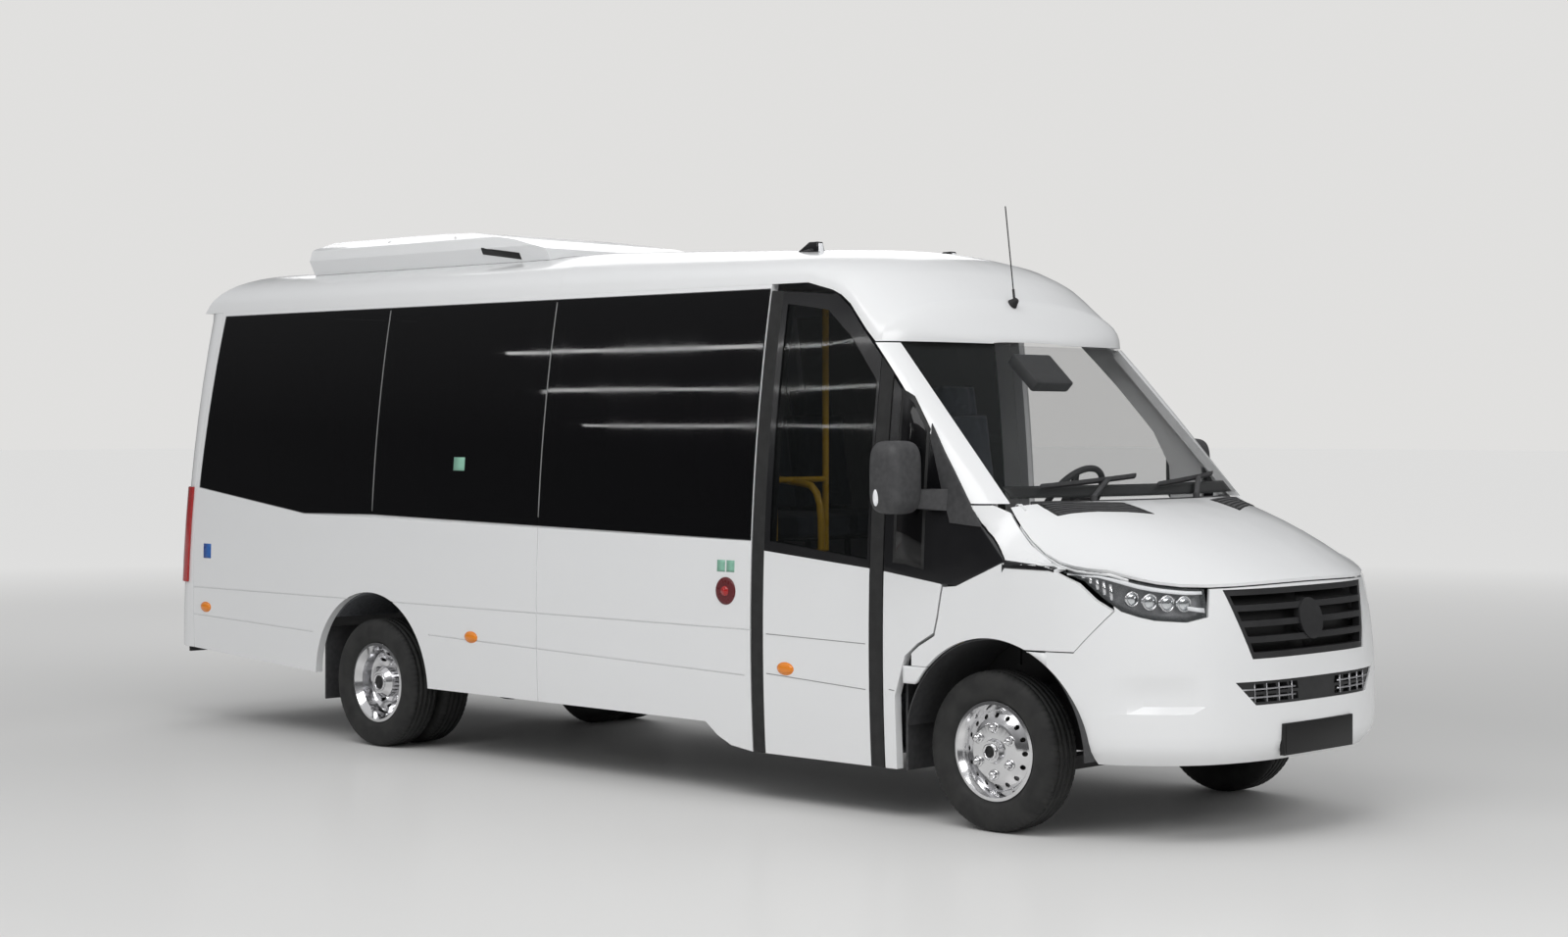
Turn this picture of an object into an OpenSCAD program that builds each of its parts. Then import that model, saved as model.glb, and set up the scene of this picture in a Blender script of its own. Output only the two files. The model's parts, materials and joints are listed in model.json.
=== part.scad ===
// Airport shuttle minibus on a long van body, with a bus door, twin rear wheels and a roof air conditioner.
// Millimetres. X runs forward, Y to the left, Z up. The origin is on the ground under the middle.

/* [Body] */
// Overall length over the bumpers
body_l = 7367; // [7200:1:7600]
// Distance from the rear end to the side walls' rear edge
rear_depth = 293; // [285:1:300]
// Width of the body at its waist
body_w = 2020; // [1990:1:2060]
// Height of the roof at its middle
roof_h = 2680; // [2660:1:2740]
// Height of the gutter where the side walls end
gutter_h = 2425; // [2420:1:2440]
// Height of the waist, where the sides are widest
waist_h = 800; // [760:1:840]
// Radius of the curve of the sides, seen from the front
side_r = 8930; // [8600:1:9400]
// Height of the sill's lower edge
sill_h = 350; // [330:1:370]
// Height of the cabin floor
floor_h = 720; // [710:1:740]
// Thickness of the cabin floor
floor_t = 30; // [24:1:36]
// Thickness of a side wall or door
wall_t = 45; // [40:1:50]
// Thickness of the roof with its lining
roof_t = 40; // [34:1:46]
// Thickness of wings, bonnet and bumper
skin_t = 20; // [16:1:22]
// Thickness of the window glass
glass_t = 8; // [6:1:10]
// Gap between panels
panel_gap = 5; // [4:0.5:6]

/* [Wheels] */
// Distance between the axles
wheelbase = 4325; // [4300:1:4350]
// Distance from the front axle to the front end
front_overhang = 1045; // [1030:1:1060]
// Diameter of a tyre
tyre_d = 699; // [690:1:704]
// Width of a tyre
tyre_w = 195; // [185:1:199]
// Diameter of the rim at the tyre's bead
rim_d = 407; // [404:1:410]
// Distance between the front wheels
front_track = 1718; // [1710:1:1726]
// Distance between the outer rear wheels
rear_track = 1768; // [1760:1:1776]
// Distance between twin wheels
twin_gap = 221; // [216:1:228]
// Radius of the wheel spindles
spindle_r = 25; // [22:1:28]
// Distance from the front wheel's middle to its kingpin
kingpin_offset = 124; // [118:1:130]
// Radius of a kingpin
kingpin_r = 15; // [13:1:17]
// Radius of the wheel arches
arch_r = 500; // [485:1:510]

/* [Bus door] */
// Distance from the front axle back to the doorway's rear edge
doorway_back = 1397; // [1380:1:1410]
// Width of the doorway
doorway_w = 830; // [800:1:850]
// Width of each rubber edge seal
seal_w = 80; // [70:1:85]
// Height of the door's lower edge
door_bottom = 232; // [225:1:245]
// Length of the door's swing arms between pivots
arm_l = 380; // [360:1:400]
// Radius of the door's turning post
post_r = 16; // [14:1:18]

/* [Windows] */
// Height of the window band's lower edge at the front
belt_h = 1218; // [1205:1:1230]
// Height of the window band's upper edge
window_top = 2405; // [2395:1:2412]
// Width of the frame behind the glass edge
window_frame = 45; // [40:1:55]
// Gap between panes
pane_gap = 6; // [4:1:8]

/* [Hidden] */
$fn = 96;
clear = 0.3;
running = 0.05;
xf = body_l / 2 - front_overhang;
xr = xf - wheelbase;
axle_z = tyre_d / 2;
floor_low = floor_h - floor_t;
wall_rear = -body_l / 2 + rear_depth;
door_x0 = xf - doorway_back;
door_x1 = door_x0 + doorway_w;
kingpin_y = front_track / 2 - kingpin_offset;
hinge_x = xf - 278;
hinge_y = body_w / 2 - 14;
driver_low = 480;
driver_x0 = xf - 1348;
rail_y = 430;
rail_w = 70;
rail_h = 150;
rail_low = floor_low - rail_h;
frame_rear = wall_rear - 100;
arch_front_x = xf + 41;
arch_z = axle_z - 4;
nose_x = xf + 62;
nose_n = 2.8;
bumper_z = 560;
nose_rake = 251;
roof_n = 2.5;
seam_x = xf - 2926;

// Curves of the body
function side_y(z) = body_w / 2 - side_r + sqrt(side_r * side_r - (z - waist_h) * (z - waist_h));
function mix(a, b, t) = a + (b - a) * t;
function steps(a, b, n) = [for (i = [0 : n]) mix(a, b, i / n)];
function signed_pow(v, p) = sign(v) * pow(abs(v), p);
function tip_x(z) = body_l / 2 - nose_rake * pow((z - bumper_z) / 1000, 2);
function nose_point(s, z, inset) =
    [nose_x + (tip_x(z) - nose_x - inset) * pow(abs(cos(s)), 2 / nose_n),
     (side_y(z) - inset) * signed_pow(sin(s), 2 / nose_n), z];

// Front roof line, from the seam to the windscreen's top edge
roof_line = [[seam_x, roof_h], [xf - 1400, roof_h - 58], [xf - 1070, roof_h - 80], [xf - 850, roof_h - 175],
    [xf - 640, roof_h - 345], [xf - 545, roof_h - 520]];
pillar_line = [[xf - 965, gutter_h - 49], [xf - 876, gutter_h - 110], [xf - 790, gutter_h - 203],
    [xf - 701, gutter_h - 290], [xf - 585, gutter_h - 407], [xf - 387, gutter_h - 627],
    [xf - 167, gutter_h - 905], [xf - 18, gutter_h - 1093], [xf + 119, gutter_h - 1248]];
screen_top_z = gutter_h - 291;
screen_low_z = gutter_h - 982;
screen_top_x = xf - 628;
screen_low_x = xf + 32;
screen_top_y = 818;
screen_low_y = 876;
screen_bulge_top = 82;
screen_bulge_low = 150;
dome_x = xf - 701;
dome_l = 158;
function roof_top(x) = lookup(x, roof_line);
function pillar_z(x) = lookup(x, pillar_line);
function pillar_x(z) = lookup(-z, [for (p = pillar_line) [-p[1], p[0]]]);
function roof_low(x) = x < pillar_line[0][0] ? mix(gutter_h, pillar_line[0][1],
    max(0, (x - (pillar_line[0][0] - 200)) / 200)) : max(pillar_z(x), screen_top_z + 6);
function roof_half(x) = x < dome_x ? side_y(roof_low(x)) :
    side_y(roof_low(dome_x)) * pow(1 - pow((x - dome_x) / dome_l, 2.2), 1 / 2.2);
function roof_arc(x, t, wide, high) =
    [x, wide * signed_pow(sin(t), 2 / roof_n), roof_low(x) + high * pow(abs(cos(t)), 2 / roof_n)];
function screen_edge(z) = let(t = (z - screen_low_z) / (screen_top_z - screen_low_z))
    [mix(screen_low_x, screen_top_x, t), mix(screen_low_y, screen_top_y, t), z];
function screen_point(u, z, inset) = let(e = screen_edge(z),
    bulge = mix(screen_bulge_low, screen_bulge_top, (z - screen_low_z) / (screen_top_z - screen_low_z)))
    [e[0] + bulge * (1 - u * u) - inset * 0.72, (e[1] - clear) * u, z - inset * 0.69];

// Bonnet surface, across by q and from its rear edge to its front by v
bonnet_rear_x = xf + 62;
bonnet_sweep = 175;
bonnet_half = 885;
bonnet_t = 14;
cowl_z = 1350;
function bonnet_front_x(q) = nose_point(asin(pow(abs(q) * 915 / side_y(1100), nose_n / 2)), 1100, 0)[0];
function bonnet_center_z(v) = 1425 - 323 * v + 190 * v * (1 - v);
function bonnet_side_z(v) = 1159 + 246 * pow(1 - v, 2.8);
function bonnet_point(q, v, inset) = let(w = pow(abs(q), 7))
    [mix(bonnet_rear_x + bonnet_sweep * (1 - q * q), bonnet_front_x(q) - 4, v),
     q * (bonnet_half + 30 * v + 22 * sin(180 * v) - inset * 0.8),
     mix(bonnet_center_z(v) - 25 * q * q * v, bonnet_side_z(v), w) - inset];

// Closed solid between an outer and an inner grid of points, rows then columns
module thick_patch(outer, inner) {
    rows = len(outer);
    cols = len(outer[0]);
    n = rows * cols;
    function o(i, j) = i * cols + j;
    function m(i, j) = n + i * cols + j;
    skin = [for (i = [0 : rows - 2], j = [0 : cols - 2])
        each [[o(i, j), o(i, j + 1), o(i + 1, j + 1)], [o(i, j), o(i + 1, j + 1), o(i + 1, j)],
              [m(i, j), m(i + 1, j + 1), m(i, j + 1)], [m(i, j), m(i + 1, j), m(i + 1, j + 1)]]];
    ends = [for (j = [0 : cols - 2])
        each [[o(0, j), m(0, j), o(0, j + 1)], [m(0, j), m(0, j + 1), o(0, j + 1)],
              [o(rows - 1, j), o(rows - 1, j + 1), m(rows - 1, j)],
              [m(rows - 1, j), o(rows - 1, j + 1), m(rows - 1, j + 1)]]];
    sides = [for (i = [0 : rows - 2])
        each [[o(i, 0), o(i + 1, 0), m(i, 0)], [m(i, 0), o(i + 1, 0), m(i + 1, 0)],
              [o(i, cols - 1), m(i, cols - 1), o(i + 1, cols - 1)],
              [m(i, cols - 1), m(i + 1, cols - 1), o(i + 1, cols - 1)]]];
    polyhedron(points = concat([for (r = outer) each r], [for (r = inner) each r]),
        faces = concat(skin, ends, sides));
}

// Places a right-hand shape on the right (-1) or the left (1)
module hand(s) {
    mirror([0, s > 0 ? 1 : 0, 0]) children();
}

// Side-view outline pushed through from y0 to y1
module side_prism(points, y0, y1) {
    translate([0, y1, 0]) rotate([90, 0, 0]) linear_extrude(y1 - y0) polygon(points);
}

// Right-hand wall of the curved side, from depth a to depth b, cut to a side-view outline
side_zs = steps(200, gutter_h + 20, 24);
module side_panel(points, a, b) {
    outer = [for (z = side_zs) [-side_y(z) + a, z]];
    inner = [for (i = [len(side_zs) - 1 : -1 : 0]) [-side_y(side_zs[i]) + b, side_zs[i]]];
    intersection() {
        side_prism(points, -body_w / 2 - 20, -body_w / 2 + 260);
        translate([-body_l / 2, 0, 0]) rotate([90, 0, 90]) linear_extrude(body_l) polygon(concat(outer, inner));
    }
}

// Cylinder across the vehicle
module cross_cylinder(x, z, r, y0, y1) {
    translate([x, y1, z]) rotate([90, 0, 0]) cylinder(r = r, h = y1 - y0);
}

// Box from its low to its high corner
module span(low, high) {
    translate(low) cube(high - low);
}

// Side window band
pane_x = [door_x0 - 7, seam_x, xr + 12, wall_rear + 30];
function belt_z(x) = lookup(x, [[wall_rear, belt_h + 175], [xr - 614, belt_h + 43], [xr - 41, belt_h + 51],
    [seam_x, belt_h + 26], [door_x0, belt_h]]);
rear_rake = 90;
function band(x0, x1, gap) = concat(
    [[x0 - gap, belt_z(x0) + gap]],
    x1 < xr - 614 ? [[xr - 614, belt_z(xr - 614) + gap]] : [],
    [[x1 + gap, belt_z(x1) + gap]],
    x1 < wall_rear + 60 ? [[x1 + rear_rake + gap, window_top - gap]] : [[x1 + gap, window_top - gap]],
    [[x0 - gap, window_top - gap]]);

// Shut lines of the lower side panels, ahead of the rear wheel and behind it
groove_w = 5;
panel_lines = [[[xr + arch_r + 20, 640], [door_x0 - 40, 585]], [[wall_rear - 10, 800], [driver_x0 + 400, 800]],
    [[wall_rear - 10, 640], [xr - arch_r - 20, 600]]];
module side_wall(front_x, low_front) {
    outline = concat([[wall_rear, 445], [xr - arch_r, sill_h + 25], [xr + arch_r, sill_h + 5]], low_front,
        [[front_x, gutter_h], [wall_rear + rear_rake, gutter_h], [wall_rear, belt_z(wall_rear)]]);
    difference() {
        side_panel(outline, 0, wall_t);
        side_panel(band(front_x > door_x0 ? front_x - 8 : pane_x[0] + 4, pane_x[3], 0), -2, glass_t);
        for (i = [0 : 2])
            side_prism(band(pane_x[i], pane_x[i + 1], window_frame), -body_w / 2 - 30, -body_w / 2 + 300);
        cross_cylinder(xr, arch_z, arch_r, -body_w / 2 - 30, -body_w / 2 + 300);
        for (line = panel_lines)
            side_panel(concat([for (p = line) p], [for (i = [len(line) - 1 : -1 : 0]) line[i] + [0, groove_w]]), -1, groove_w);
        side_panel([[seam_x - groove_w / 2, 300], [seam_x + groove_w / 2, 300], [seam_x + groove_w / 2, belt_z(seam_x) + 5],
            [seam_x - groove_w / 2, belt_z(seam_x) + 5]], -1, groove_w);
    }
}

module side_wall_right() {
    color("white")
        side_wall(door_x0, [[door_x0 - 310, sill_h], [door_x0 - 230, sill_h - 60], [door_x0 - 140, sill_h - 100],
            [door_x0, door_bottom]]);
}

module side_wall_left() {
    color("white") hand(1)
        side_wall(driver_x0, [[hinge_x - 235, sill_h], [hinge_x - 235, driver_low - panel_gap],
            [driver_x0, driver_low - panel_gap]]);
}

module side_panes() {
    for (i = [0 : 2])
        side_panel(band(pane_x[i], pane_x[i + 1], pane_gap / 2), 0, glass_t - clear);
}

module side_windows_right() {
    color("dimgray") side_panes();
}

module side_windows_left() {
    color("dimgray") hand(1) side_panes();
}

// Roof
roof_angles = [for (t = [-90 : 7.5 : 90]) t];
function roof_section(wide, high) =
    [for (t = roof_angles) [wide * signed_pow(sin(t), 2 / roof_n), gutter_h + high * pow(abs(cos(t)), 2 / roof_n)]];

module roof_block(wide, high, low, inset) {
    end_x = wall_rear + rear_rake + inset;
    intersection() {
        translate([wall_rear - 300, 0, 0]) rotate([90, 0, 90])
            linear_extrude(seam_x - wall_rear + 300 - clear + low)
            polygon(concat([[-wide, gutter_h - low]], roof_section(wide, high), [[wide, gutter_h - low]]));
        side_prism([[end_x, gutter_h - 10 - low], [seam_x + low, gutter_h - 10 - low],
            [seam_x + low, roof_h + 10], [end_x + 130, roof_h + 10], [end_x, roof_h - 20],
            [end_x - 60, roof_h - 90], [rear_x(gutter_h) + inset, gutter_h - low]], -body_w / 2, body_w / 2);
    }
}

module roof_rear() {
    wide = side_y(gutter_h);
    high = roof_h - gutter_h;
    color("white") difference() {
        roof_block(wide, high, 0, 0);
        roof_block(wide - roof_t, high - roof_t, 20, roof_t);
    }
}

module roof_front() {
    xs = concat(steps(seam_x, xf - 1165, 4), steps(xf - 1000, dome_x, 5), [for (d = [30, 61, 92, 118, 138, 152]) dome_x + d]);
    outer = [for (x = xs) [for (t = roof_angles) roof_arc(x, t, roof_half(x), roof_top(x) - roof_low(x))]];
    inner = [for (x = xs) [for (t = roof_angles) roof_arc(x, t, max(roof_half(x) - roof_t, roof_half(x) * 0.6),
        max(roof_top(x) - roof_low(x) - roof_t, (roof_top(x) - roof_low(x)) * 0.3))]];
    color("white") thick_patch(outer, inner);
}

// Rear corner pillars, doors and lamps
rear_low_x = wall_rear - 210;
rear_low_z = 445;
rear_lean = atan2(110, gutter_h - rear_low_z);
function rear_x(z) = rear_low_x + (z - rear_low_z) * tan(rear_lean);
corner_r = 140;
rear_door_half = 800;
rear_zs = [rear_low_z, 640, 830, 1000, 1200, belt_z(wall_rear), 1600, 1800, 2000, 2200, gutter_h];
corner_as = steps(0, 90, 6);
function pillar_rear_edge(z) = max(wall_rear, wall_rear + (z - belt_z(wall_rear)) * (rear_rake)
    / (gutter_h - belt_z(wall_rear)));
function corner_point(a, z, d) =
    [rear_x(z) + corner_r - (corner_r + d) * cos(a), -(side_y(z) - corner_r) - (corner_r + d) * sin(a), z];
function corner_row(z, d) = concat([[rear_x(z) - d, -rear_door_half - panel_gap, z]],
    [for (a = corner_as) corner_point(a, z, d)], [[pillar_rear_edge(z) - 3, -side_y(z) - d, z]]);
function transpose(g) = [for (j = [0 : len(g[0]) - 1]) [for (i = [0 : len(g) - 1]) g[i][j]]];

module rear_pillars() {
    color("white") {
        for (s = [-1, 1])
            hand(s) thick_patch(transpose([for (z = rear_zs) corner_row(z, 0)]),
                transpose([for (z = rear_zs) corner_row(z, -wall_t)]));
        span([rear_low_x + 15, -rear_door_half - panel_gap + clear, rear_sill - 60],
            [frame_rear - 10, rear_door_half + panel_gap - clear, rear_sill - panel_gap]);
    }
}

lamp_zs = [830, 1000, 1200, belt_z(wall_rear)];
module tail_lamps() {
    color("firebrick") for (s = [-1, 1])
        hand(s) thick_patch(transpose([for (z = lamp_zs) [for (a = corner_as) corner_point(a, z, 14)]]),
            transpose([for (z = lamp_zs) [for (a = corner_as) corner_point(a, z, clear)]]));
}

rear_sill = 560;
rear_head = gutter_h - panel_gap;
rear_hinge_out = 18;
rear_hinge_zs = [260, 800, 1500];
// Frame that leans with the rear doors, its origin at their lower edge
module rear_frame() {
    translate([rear_low_x, 0, rear_low_z]) rotate([0, rear_lean, 0]) children();
}

module rear_door_panel() {
    profile = [[rear_x(rear_sill), rear_sill], [rear_x(rear_head), rear_head],
        [rear_x(rear_head) + wall_t, rear_head], [rear_x(rear_sill) + wall_t, rear_sill]];
    difference() {
        side_prism(profile, -rear_door_half, -panel_gap / 2);
        translate([rear_low_x - 300, 0, 0]) rotate([90, 0, 90]) linear_extrude(800)
            polygon([[-rear_door_half + 110, 1330], [-90, 1330], [-90, 2260], [-rear_door_half + 150, 2260]]);
    }
    rear_frame() for (z = rear_hinge_zs)
        difference() {
            union() {
                translate([-rear_hinge_out, -rear_door_half, z]) cylinder(r = 11, h = 60);
                span([-rear_hinge_out + 4, -rear_door_half + 5, z], [1, -rear_door_half + 75, z + 60]);
            }
            translate([-rear_hinge_out, -rear_door_half, z - 1]) cylinder(r = 6 + running, h = 62);
        }
}

module rear_door_right() {
    color("white") rear_door_panel();
}

module rear_door_left() {
    color("white") hand(1) rear_door_panel();
}

module rear_pane() {
    profile = [[rear_x(1330) + 4, 1330], [rear_x(2260) + 4, 2260], [rear_x(2260) + 4 + glass_t, 2260],
        [rear_x(1330) + 4 + glass_t, 1330]];
    intersection() {
        side_prism(profile, -rear_door_half, 0);
        translate([rear_low_x - 300, 0, 0]) rotate([90, 0, 90]) linear_extrude(800)
            polygon([[-rear_door_half + 110 + clear, 1330 + clear], [-90 - clear, 1330 + clear],
                [-90 - clear, 2260 - clear], [-rear_door_half + 150 + clear, 2260 - clear]]);
    }
}

module rear_glass_right() {
    color("dimgray") rear_pane();
}

module rear_glass_left() {
    color("dimgray") hand(1) rear_pane();
}

module rear_bumper() {
    color("dimgray") {
        difference() {
            translate([0, 0, 400]) linear_extrude(100)
                polygon([[-body_l / 2, -600], [-body_l / 2 + 25, -800], [rear_low_x - panel_gap, -900],
                    [rear_low_x - panel_gap, 900], [-body_l / 2 + 25, 800], [-body_l / 2, 600]]);
            translate([-body_l / 2 - 1, tow_y, tow_z]) rotate([0, 90, 0]) cylinder(r = 3 * tow_r, h = 200);
        }
        for (s = [-1, 1])
            hand(s) {
                span([rear_low_x - 10, -rail_y - 30, 405], [frame_rear, -rail_y + 30, 440]);
                span([frame_rear - 9, -rail_y - 30, 405], [frame_rear, -rail_y + 30, floor_low - 20]);
            }
    }
}

// Cab sides, pillars and wings
shut_line = [[hinge_x - 235, driver_low], [hinge_x - 215, 600], [hinge_x - 160, 740], [hinge_x - 85, 800],
    [hinge_x + 5, 850], [hinge_x + 25, 930], [hinge_x + 50, 1066]];
trim_low = [[hinge_x + 50, 1070], [hinge_x + 133, 1066], [xf + 119, 1177]];
function pillar_border(z0, z1, gap) = [for (i = [len(pillar_line) - 1 : -1 : 0]) let(p = pillar_line[i])
    if (p[1] >= z0 && p[1] <= z1) [p[0] - gap * 0.75, p[1] - gap * 0.66]];

module cab_side_right() {
    color("white") difference() {
        side_panel(concat([[door_x1, door_bottom], [hinge_x - 220, door_bottom], [hinge_x - 220, 560]],
            [for (i = [2 : len(shut_line) - 1]) shut_line[i]], [[door_x1, 1110]]), 0, wall_t);
        cross_cylinder(arch_front_x, arch_z, arch_r + 2, -body_w / 2 - 30, -body_w / 2 + 300);
    }
}

module cab_trim() {
    color([0.06, 0.06, 0.07]) {
        side_panel(concat([[door_x1, 1110 + clear]], [[hinge_x + 50, 1066 + clear]], [trim_low[1]], [trim_low[2]],
            pillar_border(1320, 2000, panel_gap), [[door_x1, 1975]]), 0, wall_t);
        hand(1) side_panel(concat([trim_low[0] + [panel_gap + 4, 0], trim_low[1], trim_low[2]],
            pillar_border(1320, 1530, panel_gap), [[hinge_x + 79, 1560], [hinge_x + 74, 1400]]), 0, wall_t);
    }
}

pillar_low_z = 1420;
module a_pillars() {
    zs = steps(pillar_low_z - 25, screen_top_z, 9);
    ts = steps(0, 1, 5);
    function point(z, t, d) = let(e = screen_edge(z), b = [pillar_x(z), side_y(z), z], bulge = 26 * sin(180 * t))
        [mix(b[0], e[0], t) + bulge * 0.55 - d * 0.72 * t, -mix(b[1], e[1], t) - bulge * 0.6 + d * (1 - t),
         z - d * 0.69 * t];
    color("white") for (s = [-1, 1])
        hand(s) intersection() {
            thick_patch(transpose([for (z = zs) [for (t = ts) point(z, t, 0)]]),
                transpose([for (z = zs) [for (t = ts) point(z, t, wall_t)]]));
            span([0, -body_w, pillar_low_z], [body_l, 0, screen_top_z + 4]);
        }
    color("white") for (s = [-1, 1])
        hand(s) {
            span([xf - 70, -952, pillar_low_z + 4], [xf - 50, -835, pillar_low_z + 20]);
            span([xf - 70, -850, cowl_z], [xf - 50, -835, pillar_low_z + 20]);
        }
}

module front_wings() {
    rows = concat([for (x = [hinge_x - 120, hinge_x + 20, hinge_x + 130, xf - 60, xf + 10, xf + 62, xf + 90, xf + 125,
        xf + 165]) [x, 0]],
        [for (s = [86, 80, 76, 73, 70, 67, 64, 61, 58]) [nose_x, s]]);
    parts = [0, 0.21, 0.43, 0.64, 0.81, 0.92, 1];
    function at(r, z, d) = r[1] == 0 ? [r[0], -(side_y(z) - d), z] :
        let(p = nose_point(r[1], z, d)) [p[0], -p[1], p[2]];
    function edge(x, d) = let(v = max(0, min(1, (x - bonnet_rear_x) / (bonnet_front_x(1) - bonnet_rear_x))),
        b = bonnet_point(1, v, 0), y0 = x < bonnet_rear_x ? mix(side_y(pillar_low_z), b[1], max(0, 1 - (bonnet_rear_x - x) / 110)) : b[1])
        [x, -(y0 + 3 - d), (x < bonnet_rear_x ? pillar_low_z + 16 : b[2]) - bonnet_t - panel_gap - 4 - d * 0.5];
    function column(r, d) = let(high = min(1168, edge(at(r, 1100, d)[0], d)[2] - 6),
        low = [for (t = parts) at(r, mix(700, high, t), d)], last = low[len(low) - 1], top = edge(last[0], d))
        concat(low, [for (t = [0.35, 0.7, 1]) last + (top - last) * t + [0, -6 * sin(180 * t), 0]]);
    color("white") for (s = [-1, 1])
        hand(s) difference() {
            thick_patch([for (r = rows) column(r, 0)], [for (r = rows) column(r, skin_t)]);
            cross_cylinder(arch_front_x, arch_z, arch_r, -body_w / 2 - 30, -300);
            side_prism(concat([[hinge_x - 400, 600]], [for (p = shut_line) p + [panel_gap + 3, -12]],
                [trim_low[1] - [0, panel_gap], trim_low[2] + [panel_gap, 0]], pillar_border(1320, 1530, -1),
                [[hinge_x - 400, 1520]]), -body_w / 2 - 30, -500);
            side_prism(concat([[hinge_x - 400, 600]], [for (p = shut_line) p + [panel_gap + 34, 0]],
                [[hinge_x + 84, 1090], [hinge_x - 400, 1090]]), -body_w / 2 + 5, -500);
            side_prism(concat([[arch_front_x, 500]], [for (p = wing_split) p + [0, panel_gap]],
                [[xf + 628, 985], [xf + 555, 1030], [xf + 480, 1098], [xf + 380, 1140], [xf + 380, 1152],
                [xf + 900, 1152], [xf + 900, 500]]), -body_w / 2 - 30, -300);
        }
    color("white") for (s = [-1, 1])
        hand(s) span([hinge_x + 112, -side_y(1020) + skin_t / 2, 1000], [hinge_x + 130, -870, 1040]);
}

// Nose
wing_split = [[arch_front_x, 801], [xf + 470, 805]];
lamp_ss = [31, 34, 38, 43, 48, 53, 58, 63, 68, 71, 74];
function lamp_low(s) = lookup(s, [[31, 960], [38, 940], [50, 950], [58, 985], [63, 1040], [68, 1108], [74, 1142]]);
function bonnet_edge_z(s) = bonnet_point(min(1, side_y(1100) * pow(sin(abs(s)), 2 / nose_n) / 915), 1, 0)[2];
function lamp_top(s) = min(bonnet_edge_z(s) - bonnet_t - panel_gap, 1147);
lamp_ts = steps(0, 1, 3);
module headlamps() {
    color("lightgray") for (s = [-1, 1])
        hand(s) thick_patch(
            [for (a = lamp_ss) [for (t = lamp_ts) let(p = nose_point(a, mix(lamp_low(a), lamp_top(a), t), 0)) [p[0], -p[1], p[2]]]],
            [for (a = lamp_ss) [for (t = lamp_ts) let(p = nose_point(a, mix(lamp_low(a), lamp_top(a), t), 60)) [p[0], -p[1], p[2]]]]);
}

grille_half_top = 540;
grille_half_low = 435;
grille_low = 778;
grille_top = 1070;
function grille_outline(g) = [[-grille_half_low + g, grille_low + g], [grille_half_low - g, grille_low + g],
    [grille_half_top - g, grille_top - g], [-grille_half_top + g, grille_top - g]];
module front_prism(points) {
    translate([xf, 0, 0]) rotate([90, 0, 90]) linear_extrude(front_overhang + 50) polygon(points);
}

function bumper_top(s) = let(a = abs(s)) a < 29.5 ? bonnet_edge_z(a) - bonnet_t - panel_gap :
    lamp_low(max(a, 31)) - 2 * clear;
// Hollow beside the lower intake, and the drawn-in lower lip
function ease(v) = let(c = max(0, min(1, v))) c * c * (3 - 2 * c);
function bumper_relief(s, z) = 22 * ease((s - 33) / 6) * ease((66 - s) / 12) * ease((z - 555) / 30) * ease((745 - z) / 110)
    + 45 * pow(max(0, 430 - z) / 90, 2);
module front_bumper() {
    half = [0, 6, 12, 18, 24, 29, 31, 34, 38, 43, 48, 53, 58, 63, 68, 74, 80];
    ss = concat([for (i = [len(half) - 1 : -1 : 1]) -half[i]], half);
    zs = [340, 365, 395, 430, 470, 510, 535, 560, 590, 625, 665, 705, 740];
    function heights(s) = concat(zs, [for (t = [0.25, 0.5, 0.75, 1]) mix(740, bumper_top(s), t)]);
    function grid(d) = [for (s = ss) [for (z = heights(s)) nose_point(s, z, d + bumper_relief(abs(s), z))]];
    color("white") for (s = [-1, 1])
        hand(s) span([xf + 690, -rail_y - 30, rail_low + 1], [nose_point(19.5, 555, 3)[0], -rail_y + 30, rail_low + 24]);
    color("white") difference() {
        thick_patch(grid(0), grid(skin_t));
        for (s = [-1, 1])
            hand(s) {
                cross_cylinder(arch_front_x, arch_z, arch_r, -body_w / 2 - 30, -300);
                side_prism(concat([[arch_front_x, 1300]], wing_split, [[xf + 634, 985], [xf + 560, 1300]]),
                    -body_w / 2 - 30, -300);
            }
        front_prism(grille_outline(0));
        front_prism([for (p = intake) p + [sign(p[0]) * 1, p[1] > 600 ? 1 : -1]]);
    }
}

slat_rows = 4;
slat_h = 26;
badge_r = 88;
badge_z = 930;
intake = [[-428, 586], [428, 586], [532, 684], [-532, 684]];
module nose_shell(half_angle, low, high, a, b) {
    ss = steps(-half_angle, half_angle, 12);
    zs = steps(low, high, 3);
    thick_patch([for (s = ss) [for (z = zs) nose_point(s, z, a)]], [for (s = ss) [for (z = zs) nose_point(s, z, b)]]);
}

module grille() {
    pitch = (grille_top - grille_low - slat_h) / slat_rows;
    color([0.12, 0.12, 0.13]) {
        intersection() {
            nose_shell(30, 740, 1100, 6, 40);
            difference() {
                front_prism(grille_outline(clear));
                for (i = [0 : slat_rows - 1])
                    front_prism([for (p = [[-1, 0], [1, 0], [1, 1], [-1, 1]])
                        let(z = grille_low + slat_h + i * pitch + p[1] * (pitch - slat_h),
                            t = (z - grille_low) / (grille_top - grille_low))
                        [p[0] * (mix(grille_half_low, grille_half_top, t) - 28), z]]);
            }
        }
        intersection() {
            nose_shell(8, 780, 1080, 1, 30);
            translate([xf, 0, badge_z]) rotate([0, 90, 0]) cylinder(r = badge_r, h = front_overhang + 50);
        }
        intersection() {
            nose_shell(34, 560, 720, 8, 30);
            difference() {
                front_prism(intake);
                for (s = [-1, 1], i = [0 : 3], j = [0, 1])
                    let(y = s * (170 + i * 75), z = 596 + j * 44)
                        front_prism([[y - s * 30, z], [y + s * 30, z], [y + s * 38, z + 32], [y - s * 22, z + 32]]);
            }
        }
    }
}

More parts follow.
